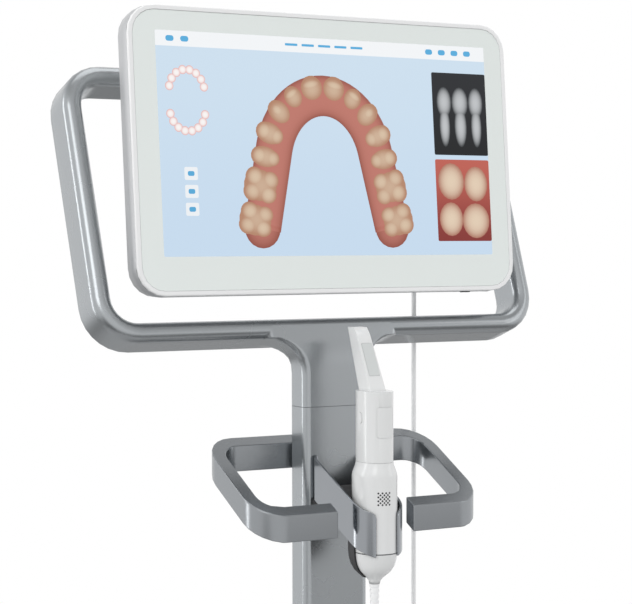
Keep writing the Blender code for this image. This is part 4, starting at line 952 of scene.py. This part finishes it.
@dataclass
class Studio:
    """Camera, soft lamps, pale floor and the surround.

    Attributes:
        image: The photograph's width and height in pixels.
        place: The camera's place.
        yaw: Its turn to the right of +Y.
        pitch: Its turn downwards.
        roll: Its turn about its own axis.
        focal: Its focal length in pixels.
        principal: The pixel on its axis.
        floor_radius: Radius of the floor.
        lamps: The soft boxes.
    """

    image: tuple[int, int] = (632, 604)
    place: Point = (-1.23725, -2.19858, 0.99703)
    yaw: float = 0.5219436
    pitch: float = 0.0599103
    roll: float = -0.0019126
    focal: float = 1931.521
    principal: tuple[float, float] = (328.64, 352.56)
    floor_radius: float = 1.6
    lamps: tuple[Lamp, ...] = (
        Lamp("key_left", (-2.6, -2.0, 2.6), (0.0, 0.0, 0.9), (1.6, 1.6), 16.0),
        Lamp("fill_right", (2.4, -2.0, 1.8), (0.0, 0.0, 0.9), (0.8, 2.0), 5.0),
        Lamp("top", (0.2, 0.2, 3.2), (0.0, 0.0, 0.8), (1.8, 1.8), 12.0),
        Lamp("edge_left", (-2.2, 1.2, 1.2), (0.0, 0.0, 0.9), (0.35, 2.2), 9.0),
    )

    def camera(self) -> None:
        """Add the camera at the photograph's viewing angle."""
        width, height = self.image
        data = bpy.data.cameras.new("camera")
        data.sensor_width = 36.0
        data.lens = self.focal * data.sensor_width / width
        data.shift_x = (width / 2 - self.principal[0]) / width
        data.shift_y = (self.principal[1] - height / 2) / width
        forward = Vector((math.sin(self.yaw) * math.cos(self.pitch),
                          math.cos(self.yaw) * math.cos(self.pitch), -math.sin(self.pitch)))
        level = Vector((math.cos(self.yaw), -math.sin(self.yaw), 0.0))
        above = level.cross(forward)
        across = level * math.cos(self.roll) + above * math.sin(self.roll)
        up = above * math.cos(self.roll) - level * math.sin(self.roll)
        made = placed("camera", data)
        made.matrix_world = (Matrix.Translation(self.place)
                             @ Matrix((across, up, -forward)).transposed().to_4x4())
        bpy.context.scene.camera = made

    def floor(self) -> None:
        """Add the pale floor, which fades into the surround."""
        bpy.ops.object.select_all(action="DESELECT")
        bpy.ops.mesh.primitive_circle_add(vertices=96, radius=self.floor_radius, fill_type="NGON",
                                          location=(0.0, 0.0, -0.5 * MM))
        piece = settle(bpy.context.active_object)
        piece.name = "floor"
        graph = Graph("pale_floor", (0.6, 0.6, 0.6), 0.7)
        across, along, _ = graph.axes(graph.place())
        radius = (across * across + along * along).root()
        graph.set("Base Color", graph.mix(graph.noise(3.0), (0.59, 0.59, 0.59), (0.61, 0.61, 0.61)))
        graph.set("Specular IOR Level", 0.1)
        graph.set("Alpha", 1.0 - radius.step(self.floor_radius * 0.5, self.floor_radius * 0.98))
        piece.data.materials.append(graph.material)

    def build(self) -> None:
        """Set up the whole studio."""
        bpy.context.scene.view_settings.view_transform = "Standard"
        self.camera()
        self.floor()
        Surround().build()
        for lamp in self.lamps:
            lamp.build()
        LOG.info("studio: camera, floor, surround and %d lamps", len(self.lamps))


@dataclass
class Cord:
    """The white cord between the display and the wand, hanging in one bend.

    Attributes:
        diameter: Its diameter.
        outlet: Where it leaves the display's sleeve.
        sleeve: Where it enters the wand's sleeve.
        low: Height of its middle at the lowest point.
        bend_top: Height at which its two hanging runs begin to bend together.
        steps: Points round the bend.
    """

    diameter: float = 6.4 * MM
    outlet: Point = (0.163, 0.005103, 0.9274)
    sleeve: Point = (0.0, -0.160897, 0.5194)
    low: float = 0.148
    bend_top: float = 0.370
    steps: int = 26

    def route(self, steps: int) -> list[Point]:
        """Points straight down from both ends into one hanging bend.

        Args:
            steps: Points round the bend.

        Returns:
            The points, ends included.
        """
        start, end = Vector(self.outlet), Vector(self.sleeve)
        points = [tuple(start)]
        for step in range(steps + 1):
            turn = math.pi * step / steps
            level = start.lerp(end, (1 - math.cos(turn)) / 2)
            points.append((level.x, level.y, self.bend_top - (self.bend_top - self.low) * math.sin(turn)))
        return points + [tuple(end)]

    def build(self) -> None:
        """Add the cord as a round curve along its route."""
        piece = round_bar("cord", self.route(self.steps * 4), self.diameter / 2, 5)
        register(piece, "cord", "cart", CORD_WHITE, ["scanner_cord"])


@dataclass
class Stand(Assembly):
    """Column, loop frame, bracket and ring handle.

    Attributes:
        seam: Height of the joint between column and column head.
        seam_height: Height of the dark line in it.
    """

    angle: float = 46.0
    seam: float = 780.85 * MM
    seam_height: float = 0.5 * MM

    def solids(self) -> dict[Finish, tuple[str, ...]]:
        """All in satin metal, the ring handle in a darker copy of it, which is painted shade."""
        return {SATIN: ("loop_frame", "column_tube", "display_bracket"), RING_SATIN_PAINTED_SHADE: ("ring_handle",)}

    def edges(self) -> dict[str, float]:
        """The ends of the ring handle are rounded."""
        return {"ring_handle": 1.6 * MM}

    def model(self) -> None:
        """Add the dark line of the column's joint."""
        slice_of("column_tube", self.seam - self.seam_height, self.seam - 0.2 * MM, 0.03 * MM,
                 "column_seam", JOINT_AND_GROOVE_SHADE)


@dataclass
class Display(Assembly):
    """The touch display: rim, glass, silver band, rear housing and what is inside.

    Attributes:
        size: Width and height.
        corner: Radius of its corners.
        groove_shade_depth: Depths of the dark ring in the groove between rim and band, which is painted
            shade.
        groove_shade_inset: How far that ring lies inside the display's sides.
        groove_shade_wall: The ring's wall.
        crown: How far the band's side swells between its edges.
    """

    size: tuple[float, float] = (552.0 * MM, 356.0 * MM)
    corner: float = 36.0 * MM
    groove_shade_depth: tuple[float, float] = (4.6 * MM, 5.9 * MM)
    groove_shade_inset: float = 0.5 * MM
    groove_shade_wall: float = 1.8 * MM
    crown: float = 0.7 * MM

    def solids(self) -> dict[Finish, tuple[str, ...]]:
        """White housing, its rim in a lighter copy of the white that is painted light, pale glass, black
        button, and the parts inside display and wand.
        """
        return {
            RIM_WHITE_PAINTED_LIGHT: ("front_rim",),
            WHITE: ("rear_cover", "cord_outlet"),
            BEZEL: ("touch_glass",),
            RUBBER: ("power_button",),
            GREY: ("lcd_panel", "battery_pack", "imaging_module"),
            BOARD: ("main_board",),
            BOLT: ("chassis_plate",),
        }

    def outside(self, point: Vector) -> bool:
        """Whether a point in the display's frame lies on the outer side of its band."""
        x = abs(point.x) - self.size[0] / 2 + self.corner
        y = abs(point.y) - self.size[1] / 2 + self.corner
        reach = math.hypot(x, y) if min(x, y) > 0 else max(x, y)
        return reach > self.corner - 1.5 * MM

    def band(self) -> None:
        """Swell the side of the silver band a little, as a rolled strip is."""
        piece = settle(copy_of("side_band"), SCREEN.matrix().inverted())
        heights = sorted({round(vert.co.z, 5) for vert in piece.data.vertices if self.outside(vert.co)})
        low, high = heights[0], heights[-1]
        with Editing(piece) as work:
            for share in (0.15, 0.35, 0.5, 0.65, 0.85):
                height = low + (high - low) * share
                work.cut(height)
                work.verts(lambda point: abs(point.z - height) < 1e-5 and self.outside(point))
                bpy.ops.transform.shrink_fatten(value=self.crown * 4 * share * (1 - share))
        settle(piece, SCREEN.matrix())
        register(shade(piece, 40.0), "side_band_crowned", body_of("side_band"), BAND, ["side_band"])

    def model(self) -> None:
        """Add the crowned band, and a dark ring in the groove between it and the rim, which is painted
        shade.
        """
        self.band()
        near, far = self.groove_shade_depth
        outer = tuple(length - 2 * self.groove_shade_inset for length in self.size)
        # A dark ring set in the groove between rim and band: painted shade, for the shadow in that groove.
        groove_shade = ring(outer, (0.0, 0.0, -far), self.corner - self.groove_shade_inset, far - near, self.groove_shade_wall)
        settle(groove_shade, SCREEN.matrix())
        register(shade(groove_shade, 30.0), "rim_groove_shade", body_of("front_rim"), JOINT_AND_GROOVE_SHADE)


class Tooth(Enum):
    """Kinds of tooth, each with its domes as place and size in shares of the tooth's own."""

    FRONT = ((0.0, 0.0, 1.06, 0.95, 0.85), (0.0, 0.14, 0.9, 0.42, 1.0))
    EYE = ((0.0, 0.0, 1.05, 1.0, 0.85), (0.0, 0.1, 0.6, 0.6, 1.0))
    PREMOLAR = ((0.0, 0.0, 1.08, 1.05, 0.85), (0.0, 0.2, 0.85, 0.62, 1.0), (0.0, -0.22, 0.8, 0.58, 0.95))
    MOLAR = ((0.0, 0.0, 1.08, 1.08, 0.8), (0.2, 0.22, 0.62, 0.6, 1.0), (-0.2, 0.22, 0.6, 0.6, 0.95),
             (0.2, -0.22, 0.6, 0.58, 0.95), (-0.2, -0.22, 0.6, 0.58, 1.0))


@dataclass
class DentalArch:
    """The scanned arch in the middle of the screen, made of low domes.

    Attributes:
        centre: Middle of its round front, on the screen.
        half_width: Half its width at the middle of the teeth.
        front: Height of its front above the centre.
        flare: Turn of its sides away from upright.
        gum_shift: How far inside the teeth the middle of the gum runs.
        teeth: Kind, width and depth of the teeth from the middle to one side.
    """

    centre: tuple[float, float] = (-8.0 * MM, -17.0 * MM)
    half_width: float = 86.0 * MM
    front: float = 101.0 * MM
    flare: float = math.radians(14.0)
    gum_shift: float = 10.0 * MM
    teeth: tuple[tuple[Tooth, float, float], ...] = (
        (Tooth.FRONT, 35.0 * MM, 37.0 * MM), (Tooth.FRONT, 28.0 * MM, 34.0 * MM),
        (Tooth.EYE, 30.0 * MM, 38.0 * MM), (Tooth.PREMOLAR, 30.0 * MM, 41.0 * MM),
        (Tooth.PREMOLAR, 29.0 * MM, 42.0 * MM), (Tooth.MOLAR, 45.0 * MM, 48.0 * MM),
        (Tooth.MOLAR, 42.0 * MM, 47.0 * MM))

    def at(self, run: float, inward: float = 0.0) -> tuple[float, float, float]:
        """A place on the arch's line.

        Args:
            run: Way along the line from its front, towards either side.
            inward: Distance from the line, towards the inside.

        Returns:
            Place on the screen and direction of the line.
        """
        side = 1.0 if run >= 0 else -1.0
        far = abs(run)
        radius = (self.half_width + self.front) / 2
        bow = (math.pi / 2 - self.flare) * radius
        turn = min(far, bow) / radius
        x, y = self.half_width * math.sin(turn), self.front * math.cos(turn)
        way = math.atan2(-self.front * math.sin(turn), self.half_width * math.cos(turn))
        x += max(far - bow, 0.0) * math.cos(way)
        y += max(far - bow, 0.0) * math.sin(way)
        x += inward * math.sin(way)
        y -= inward * math.cos(way)
        return self.centre[0] + side * x, self.centre[1] + y, side * way

    def places(self) -> list[tuple[Tooth, float, float, tuple[float, float, float]]]:
        """Kind, width, depth and place of every tooth."""
        found = []
        run = 0.0
        for kind, width, depth in self.teeth:
            for side in (1.0, -1.0):
                found.append((kind, width, depth, self.at(side * (run + width / 2))))
            run += width
        return found

    def gum_line(self, steps: int = 48) -> list[Point]:
        """Middle line of the gum, from one end to the other."""
        end = sum(width for _, width, _ in self.teeth) - 12.0 * MM
        return [(*self.at(end * (2 * step / steps - 1), self.gum_shift)[:2], 0.0)
                for step in range(steps + 1)]


@dataclass
class ScreenPicture:
    """The lit picture behind the glass, of a scanned arch between plain panels.

    Attributes:
        lit: Width and height of the lit field.
        middle: Its middle on the display.
        step: Rise of each layer of the picture over the one under it.
        gum_half: Half the width of the gum.
        arch: The scanned arch.
        bar: Height of the tool bar.
        icons: Left sides of the tool bar's icons.
        dashes: Left sides of the tool bar's dashes.
        buttons: Lower sides of the buttons on the left.
        panel: Left and right sides of the side panels.
        dark: Lower and upper sides of the dark panel.
        red: Lower and upper sides of the red panel.
        roots: Places and widths, of crown and root, of the teeth on the dark panel.
        close: Places and sizes of the teeth on the red panel, in millimetres.
    """

    lit: tuple[float, float] = (483.0 * MM, 277.0 * MM)
    middle: tuple[float, float] = (1.5 * MM, 8.5 * MM)
    step: float = 0.03 * MM
    gum_half: float = 26.0 * MM
    arch: DentalArch = field(default_factory=DentalArch)
    bar: float = 19.0 * MM
    icons: tuple[float, ...] = (-0.226, -0.206, 0.150, 0.170, 0.190, 0.210)
    dashes: tuple[float, ...] = (-0.060, -0.036, -0.012, 0.012, 0.036)
    buttons: tuple[float, ...] = (-36.0 * MM, -58.0 * MM, -80.0 * MM)
    panel: tuple[float, float] = (158.0 * MM, 243.0 * MM)
    dark: tuple[float, float] = (2.0 * MM, 111.0 * MM)
    red: tuple[float, float] = (-112.0 * MM, -4.0 * MM)
    roots: tuple[Point, ...] = (
        (176.0 * MM, 24.0 * MM, 17.0 * MM), (201.0 * MM, 27.0 * MM, 20.0 * MM),
        (226.0 * MM, 24.0 * MM, 17.0 * MM))
    close: tuple[tuple[float, float, float, float], ...] = (
        (182.0, -33.0, 42.0, 50.0), (221.0, -36.0, 38.0, 48.0), (180.0, -83.0, 38.0, 46.0),
        (219.0, -85.0, 44.0, 48.0))

    def layer(self, number: int) -> float:
        """Height of a layer of the picture."""
        return SCREEN.glass + number * self.step

    def finish(self, name: str, colour: Colour, lower: Colour | None = None,
               span: tuple[float, float] = (-0.130, 0.147),
               relief: tuple[float, float] | None = None) -> LitPixels:
        """A lit finish of the picture."""
        return LitPixels(name, "printed_glass", colour, 0.08, 0.0, lower or tinted(colour, 0.93), span,
                         relief)

    def show(self, name: str, pieces: Sequence[bpy.types.Object], finish: LitPixels) -> None:
        """Join pieces of the picture, seat them on the glass and dress them."""
        piece = settle(joined(pieces), SCREEN.matrix())
        register(piece, name, body_of("touch_glass"), finish)

    def tile(self, left: float, right: float, low: float, high: float, number: int,
             corner: float = 2.0 * MM) -> bpy.types.Object:
        """A flat rounded tile of the picture.

        Args:
            left: Its left side.
            right: Its right side.
            low: Its lower side.
            high: Its upper side.
            number: Its layer.
            corner: Radius of its corners.

        Returns:
            The piece.
        """
        centre = ((left + right) / 2, (low + high) / 2, self.layer(number - 1))
        return plate((right - left, high - low), centre, corner, self.step, 3)

    def dome(self) -> bpy.types.Object:
        """The pattern of every dome: the upper half of a ball of radius one half and height one."""
        bpy.ops.object.select_all(action="DESELECT")
        bpy.ops.mesh.primitive_uv_sphere_add(segments=20, ring_count=12, radius=0.5)
        piece = bpy.context.active_object
        with Editing(piece) as work:
            work.cut(0.0, use_fill=True, clear_inner=True)
            work.all()
            bpy.ops.transform.resize(value=(1.0, 1.0, 2.0))
        return piece

    @staticmethod
    def lump(pattern: bpy.types.Object, place: Point, size: Point) -> bpy.types.Object:
        """A copy of the dome at a place, stretched to a size."""
        return copied(pattern, Matrix.LocRotScale(place, None, size))

    def gum(self, pattern: bpy.types.Object, base: float, height: float) -> bpy.types.Object:
        """The gum: a flattened round bar along the arch, with round ends.

        Args:
            pattern: The dome.
            base: Height of its underside.
            height: Its own height.

        Returns:
            The piece.
        """
        line = self.arch.gum_line()
        bar = round_bar("gum", line, self.gum_half, 8)
        activate(bar)
        bpy.ops.object.convert(target="MESH")
        bar.matrix_world = Matrix.LocRotScale((0.0, 0.0, base), None, (1.0, 1.0, height / self.gum_half))
        settle(bar)
        with Editing(bar) as work:
            work.all()
            bpy.ops.mesh.remove_doubles(threshold=0.001 * MM)
            work.cut(base, clear_inner=True)
        size = (2 * self.gum_half, 2 * self.gum_half, height)
        ends = [self.lump(pattern, (*end[:2], base), size) for end in (line[0], line[-1])]
        return joined([bar, *ends])

    def teeth(self) -> None:
        """Add the arch's teeth and gum."""
        pattern = self.dome()
        base = self.layer(1)
        crowns = []
        for kind, width, depth, (x, y, way) in self.arch.places():
            seat = Matrix.Translation((x, y, base)) @ Matrix.Rotation(way, 4, "Z")
            for across, along, wide, deep, high in kind.value:
                local = Matrix.LocRotScale((across * width, along * depth, 0.0), None,
                                           (width * wide, depth * deep, 0.42 * MM * high))
                crowns.append(copied(pattern, seat @ local))
        gum = self.gum(pattern, base, 0.12 * MM)
        discard(pattern)
        self.show("scan_gum", [gum], self.finish("lit_gum", (0.52, 0.19, 0.15), (0.30, 0.085, 0.06),
                                                 relief=(base, base + 0.12 * MM)))
        self.show("scan_teeth", crowns, self.finish("lit_teeth", (0.74, 0.60, 0.44), (0.46, 0.24, 0.15),
                                                    relief=(base + 0.10 * MM, base + 0.40 * MM)))

    def panels(self) -> None:
        """Add the field, the tool bar, the buttons and the side panels."""
        width, height = self.lit
        x, y = self.middle
        left, right, low, high = x - width / 2, x + width / 2, y - height / 2, y + height / 2
        self.show("screen_field", [self.tile(left, right, low, high, 1)],
                  self.finish("lit_field", (0.62, 0.75, 0.87), (0.57, 0.71, 0.86)))
        bar = [self.tile(left, right, high - self.bar, high, 2, 1.0 * MM)]
        bar += [self.tile(-208.0 * MM, -190.0 * MM, v, v + 16.0 * MM, 2) for v in self.buttons]
        self.show("screen_bar", bar, self.finish("lit_white", (0.90, 0.92, 0.94), (0.84, 0.87, 0.90)))
        marks = [self.tile(start, start + 11.0 * MM, high - 13.0 * MM, high - 6.0 * MM, 3, 3.0 * MM)
                 for start in self.icons]
        marks += [self.tile(-203.5 * MM, -194.5 * MM, v + 5.0 * MM, v + 11.0 * MM, 3, 2.0 * MM)
                  for v in self.buttons]
        marks += [self.tile(start, start + 18.0 * MM, high - 11.0 * MM, high - 8.0 * MM, 3, 1.0 * MM)
                  for start in self.dashes]
        self.show("screen_marks", marks, self.finish("lit_marks", (0.10, 0.42, 0.72)))
        self.show("screen_dark_panel", [self.tile(*self.panel, *self.dark, 2)],
                  self.finish("lit_dark", (0.022, 0.024, 0.028), (0.012, 0.013, 0.015), (0.0, 0.11)))
        self.show("screen_red_panel", [self.tile(*self.panel, *self.red, 2)],
                  self.finish("lit_red", (0.52, 0.12, 0.09), (0.24, 0.035, 0.03), self.red))

    def views(self) -> None:
        """Add the teeth on the two side panels and the two little arches on the left."""
        pattern = self.dome()
        base = self.layer(2)
        pale = []
        for x, crown, root in self.roots:
            pale.append(self.lump(pattern, (x, 72.0 * MM, base), (crown, 42.0 * MM, 0.16 * MM)))
            pale.append(self.lump(pattern, (x, 40.0 * MM, base), (root, 56.0 * MM, 0.16 * MM)))
        self.show("panel_roots", pale, self.finish("lit_roots", (0.62, 0.64, 0.66), (0.05, 0.055, 0.06),
                                                   relief=(base, base + 0.16 * MM)))
        close = [self.lump(pattern, (x * MM, y * MM, base), (wide * MM, tall * MM, 0.3 * MM))
                 for x, y, wide, tall in self.close]
        self.show("panel_teeth", close, self.finish("lit_close", (0.80, 0.66, 0.50), (0.44, 0.20, 0.14),
                                                    relief=(base, base + 0.28 * MM)))
        small = []
        for middle, bend in ((86.0 * MM, 1.0), (38.0 * MM, -1.0)):
            for number in range(8):
                turn = math.pi * (number + 0.5) / 8
                x = -200.0 * MM - 24.0 * MM * math.cos(turn)
                y = middle + bend * (26.0 * MM * math.sin(turn) - 12.0 * MM)
                small.append(self.lump(pattern, (x, y, base), (11.5 * MM, 11.5 * MM, 0.2 * MM)))
        self.show("small_arches", small, self.finish("lit_small", (0.95, 0.93, 0.92), (0.80, 0.45, 0.43),
                                                     relief=(base, base + 0.16 * MM)))
        discard(pattern)

    def build(self) -> None:
        """Add the whole picture."""
        self.panels()
        self.teeth()
        self.views()
        LOG.info("ScreenPicture is built")


@dataclass
class Wand(Assembly):
    """The scanning wand with its buttons, vents and dark cap joint.

    Attributes:
        joint: Heights of the dark joint between grip and cap.
        vent_middle: Height of the middle of the vents.
        vent_rows: Rows of vents.
        vent_columns: Vents in a row.
        vent_pitch: Distances between vents, across and up.
        vent_radius: Radius of a vent.
        vent_side: How far the vents lie to the left of the grip's middle, as a negative number.
    """

    angle: float = 50.0
    joint: tuple[float, float] = (606.0 * MM, 607.15 * MM)
    vent_middle: float = 675.6 * MM
    vent_rows: int = 7
    vent_columns: int = 4
    vent_pitch: tuple[float, float] = (4.8 * MM, 2.4 * MM)
    vent_radius: float = 1.2 * MM
    vent_side: float = -4.8 * MM

    def solids(self) -> dict[Finish, tuple[str, ...]]:
        """White mouldings and the pale window."""
        return {
            WHITE: ("wand_nose", "wand_barrel", "wand_grip", "wand_cap", "touch_pad", "side_button_left",
                    "side_button_right"),
            CORD_WHITE: ("strain_relief",),
            WINDOW: ("nose_window",),
        }

    def edges(self) -> dict[str, float]:
        """The nose has soft corners."""
        return {"wand_nose": 2.4 * MM}

    def vent(self) -> bpy.types.Object:
        """The pattern of every vent: a little dished plug."""
        bpy.ops.object.select_all(action="DESELECT")
        bpy.ops.mesh.primitive_cylinder_add(vertices=10, radius=self.vent_radius, depth=0.6 * MM)
        piece = bpy.context.active_object
        with Editing(piece) as work:
            work.faces(lambda middle, normal: normal.z > 0.9)
            bpy.ops.mesh.inset(thickness=self.vent_radius * 0.25)
            bpy.ops.transform.translate(value=(0.0, 0.0, -0.12 * MM))
        return piece

    def vents(self) -> None:
        """Add the staggered vents on the front of the grip."""
        pattern = self.vent()
        mesh = frame["nodes"]["wand_grip"].data
        grip = BVHTree.FromPolygons([vert.co for vert in mesh.vertices],
                                    [tuple(face.vertices) for face in mesh.polygons])
        made = []
        across, up = self.vent_pitch
        for row in range(self.vent_rows):
            z = self.vent_middle + (row - (self.vent_rows - 1) / 2) * up
            for column in range(self.vent_columns - row % 2):
                x = self.vent_side + (column - (self.vent_columns - 1 - row % 2) / 2) * across
                place, normal, _, _ = grip.ray_cast((x, -1.0, z), (0.0, 1.0, 0.0))
                if place is not None:
                    turn = normal.to_track_quat("Z", "Y").to_matrix().to_4x4()
                    sunk = Matrix.Translation((0.0, 0.0, -0.12 * MM))
                    made.append(copied(pattern, Matrix.Translation(place) @ turn @ sunk))
        discard(pattern)
        register(joined(made), "grip_vents", body_of("wand_grip"), RUBBER)

    def model(self) -> None:
        """Add the joint of the cap and the vents."""
        slice_of("wand_cap", *self.joint, 0.12 * MM, "cap_joint", JOINT_AND_GROOVE_SHADE)
        self.vents()


@dataclass
class Cradle(Assembly):
    """The bent steel strap and its black insert."""

    def solids(self) -> dict[Finish, tuple[str, ...]]:
        """Brushed steel and black rubber."""
        return {STEEL: ("cradle_strap",), RUBBER: ("cradle_insert",)}


@dataclass
class Base(Assembly):
    """The five-legged base with its casters and brake levers.

    Attributes:
        casters: Number of casters.
        braked: Casters with a brake lever.
    """

    angle: float = 46.0
    casters: int = 5
    braked: tuple[int, ...] = (3, 4)

    def solids(self) -> dict[Finish, tuple[str, ...]]:
        """Satin legs, grey forks, black levers and steel axles."""
        numbers = range(1, self.casters + 1)
        return {
            BASE_SATIN: ("star_base",),
            GREY: tuple("caster_fork_%d" % number for number in numbers),
            RUBBER: tuple("brake_lever_%d" % number for number in self.braked),
            BOLT: tuple("caster_axle_%d" % number for number in numbers),
        }

    def model(self) -> None:
        """Dress each wheel about its own axle."""
        for number in range(1, self.casters + 1):
            node = "caster_wheel_%d" % number
            low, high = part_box(node)
            axle = tuple((low + high) / 2)
            skin(node, WheelFinish("wheel_%d" % number, "tyre", (0.09, 0.09, 0.095), 0.5, axle=axle), 40.0)


@dataclass
class Fasteners(Assembly):
    """Pan-head screws with a hexagon socket, one pattern per length.

    Attributes:
        head_radius: Radius of the head.
        head: Height of the head.
        shank: Radius of the shank.
        edge: Rounding of the head.
        socket: Radius of the hexagon socket's corners.
        socket_depth: Its depth.
    """

    head_radius: float = 4.6 * MM
    head: float = 2.6 * MM
    shank: float = 2.5 * MM
    edge: float = 0.9 * MM
    socket: float = 1.9 * MM
    socket_depth: float = 1.5 * MM

    def nodes(self) -> list[str]:
        """Names of all the screws."""
        return sorted(name for name in frame["nodes"] if "_screw" in name)

    def pattern(self, length: float) -> bpy.types.Object:
        """A screw at the origin, its head upwards.

        Args:
            length: Length of the shank under the head.

        Returns:
            The piece.
        """
        bpy.ops.object.select_all(action="DESELECT")
        bpy.ops.mesh.primitive_cylinder_add(vertices=24, radius=self.head_radius, depth=self.head,
                                            location=(0.0, 0.0, self.head / 2))
        piece = settle(bpy.context.active_object)
        with Editing(piece) as work:
            work.faces(lambda middle, normal: normal.z > 0.9)
            bpy.ops.mesh.bevel(offset=self.edge, segments=3, affect="EDGES")
            work.faces(lambda middle, normal: normal.z < -0.9)
            bpy.ops.mesh.inset(thickness=self.head_radius - self.shank)
            bpy.ops.mesh.extrude_region_move(TRANSFORM_OT_translate={"value": (0.0, 0.0, -length)})
        bpy.ops.object.select_all(action="DESELECT")
        bpy.ops.mesh.primitive_cylinder_add(vertices=6, radius=self.socket, depth=2 * self.socket_depth,
                                            location=(0.0, 0.0, self.head))
        socket = bpy.context.active_object
        apply_modifier(piece, "BOOLEAN", object=socket, operation="DIFFERENCE", solver="EXACT")
        discard(socket)
        return piece

    @staticmethod
    def middle(points: Sequence[Vector]) -> Vector:
        """Mean place of points."""
        return sum(points, Vector()) / len(points)

    def spread(self, points: Sequence[Vector], line: Vector) -> float:
        """Largest distance of points from the line in a direction through their middle."""
        offsets = [point - self.middle(points) for point in points]
        return max((offset - line * offset.dot(line)).length for offset in offsets)

    def axis(self, node: str) -> tuple[Vector, Vector, float]:
        """Where a screw's head sits.

        Args:
            node: Name of the screw.

        Returns:
            Point under the head, direction out of the head, and length of the shank.
        """
        corners = [vert.co.copy() for vert in frame["nodes"][node].data.vertices]
        far = max(corners, key=lambda point: (point - corners[0]).length)
        near = max(corners, key=lambda point: (point - far).length)
        reach = self.head_radius * 2.05
        ends = [self.middle([c for c in corners if (c - end).length < reach]) for end in (far, near)]
        line = (ends[0] - ends[1]).normalized()
        wide = [self.spread([c for c in corners if abs((c - end).dot(line)) < self.head * 1.2], line)
                for end in (far, near)]
        out = line if wide[0] > wide[1] else -line
        heights = [corner.dot(out) for corner in corners]
        bottom = min(heights)
        length = max(heights) - bottom - self.head
        foot = self.middle([c for c in corners if c.dot(out) < bottom + 0.05 * MM])
        return foot + out * length, out, length

    def model(self) -> None:
        """Replace each screw by a copy of the pattern of its length."""
        patterns: dict[int, bpy.types.Object] = {}
        for node in self.nodes():
            seat, out, length = self.axis(node)
            key = round(length / MM * 10)
            if key not in patterns:
                patterns[key] = self.pattern(length)
            turn = out.to_track_quat("Z", "Y").to_matrix().to_4x4()
            piece = copied(patterns[key], Matrix.Translation(seat) @ turn)
            register(shade(piece, 35.0), node + "_fine", body_of(node), BOLT, [node])
        for pattern in patterns.values():
            discard(pattern)


def main() -> None:
    """Build the studio, then the cord, then each sub-assembly."""
    Studio().build()
    Cord().build()
    for assembly in (Stand(), Display(), ScreenPicture(), Cradle(), Wand(), Base(), Fasteners()):
        assembly.build()


if __name__ == "__main__":
    main()
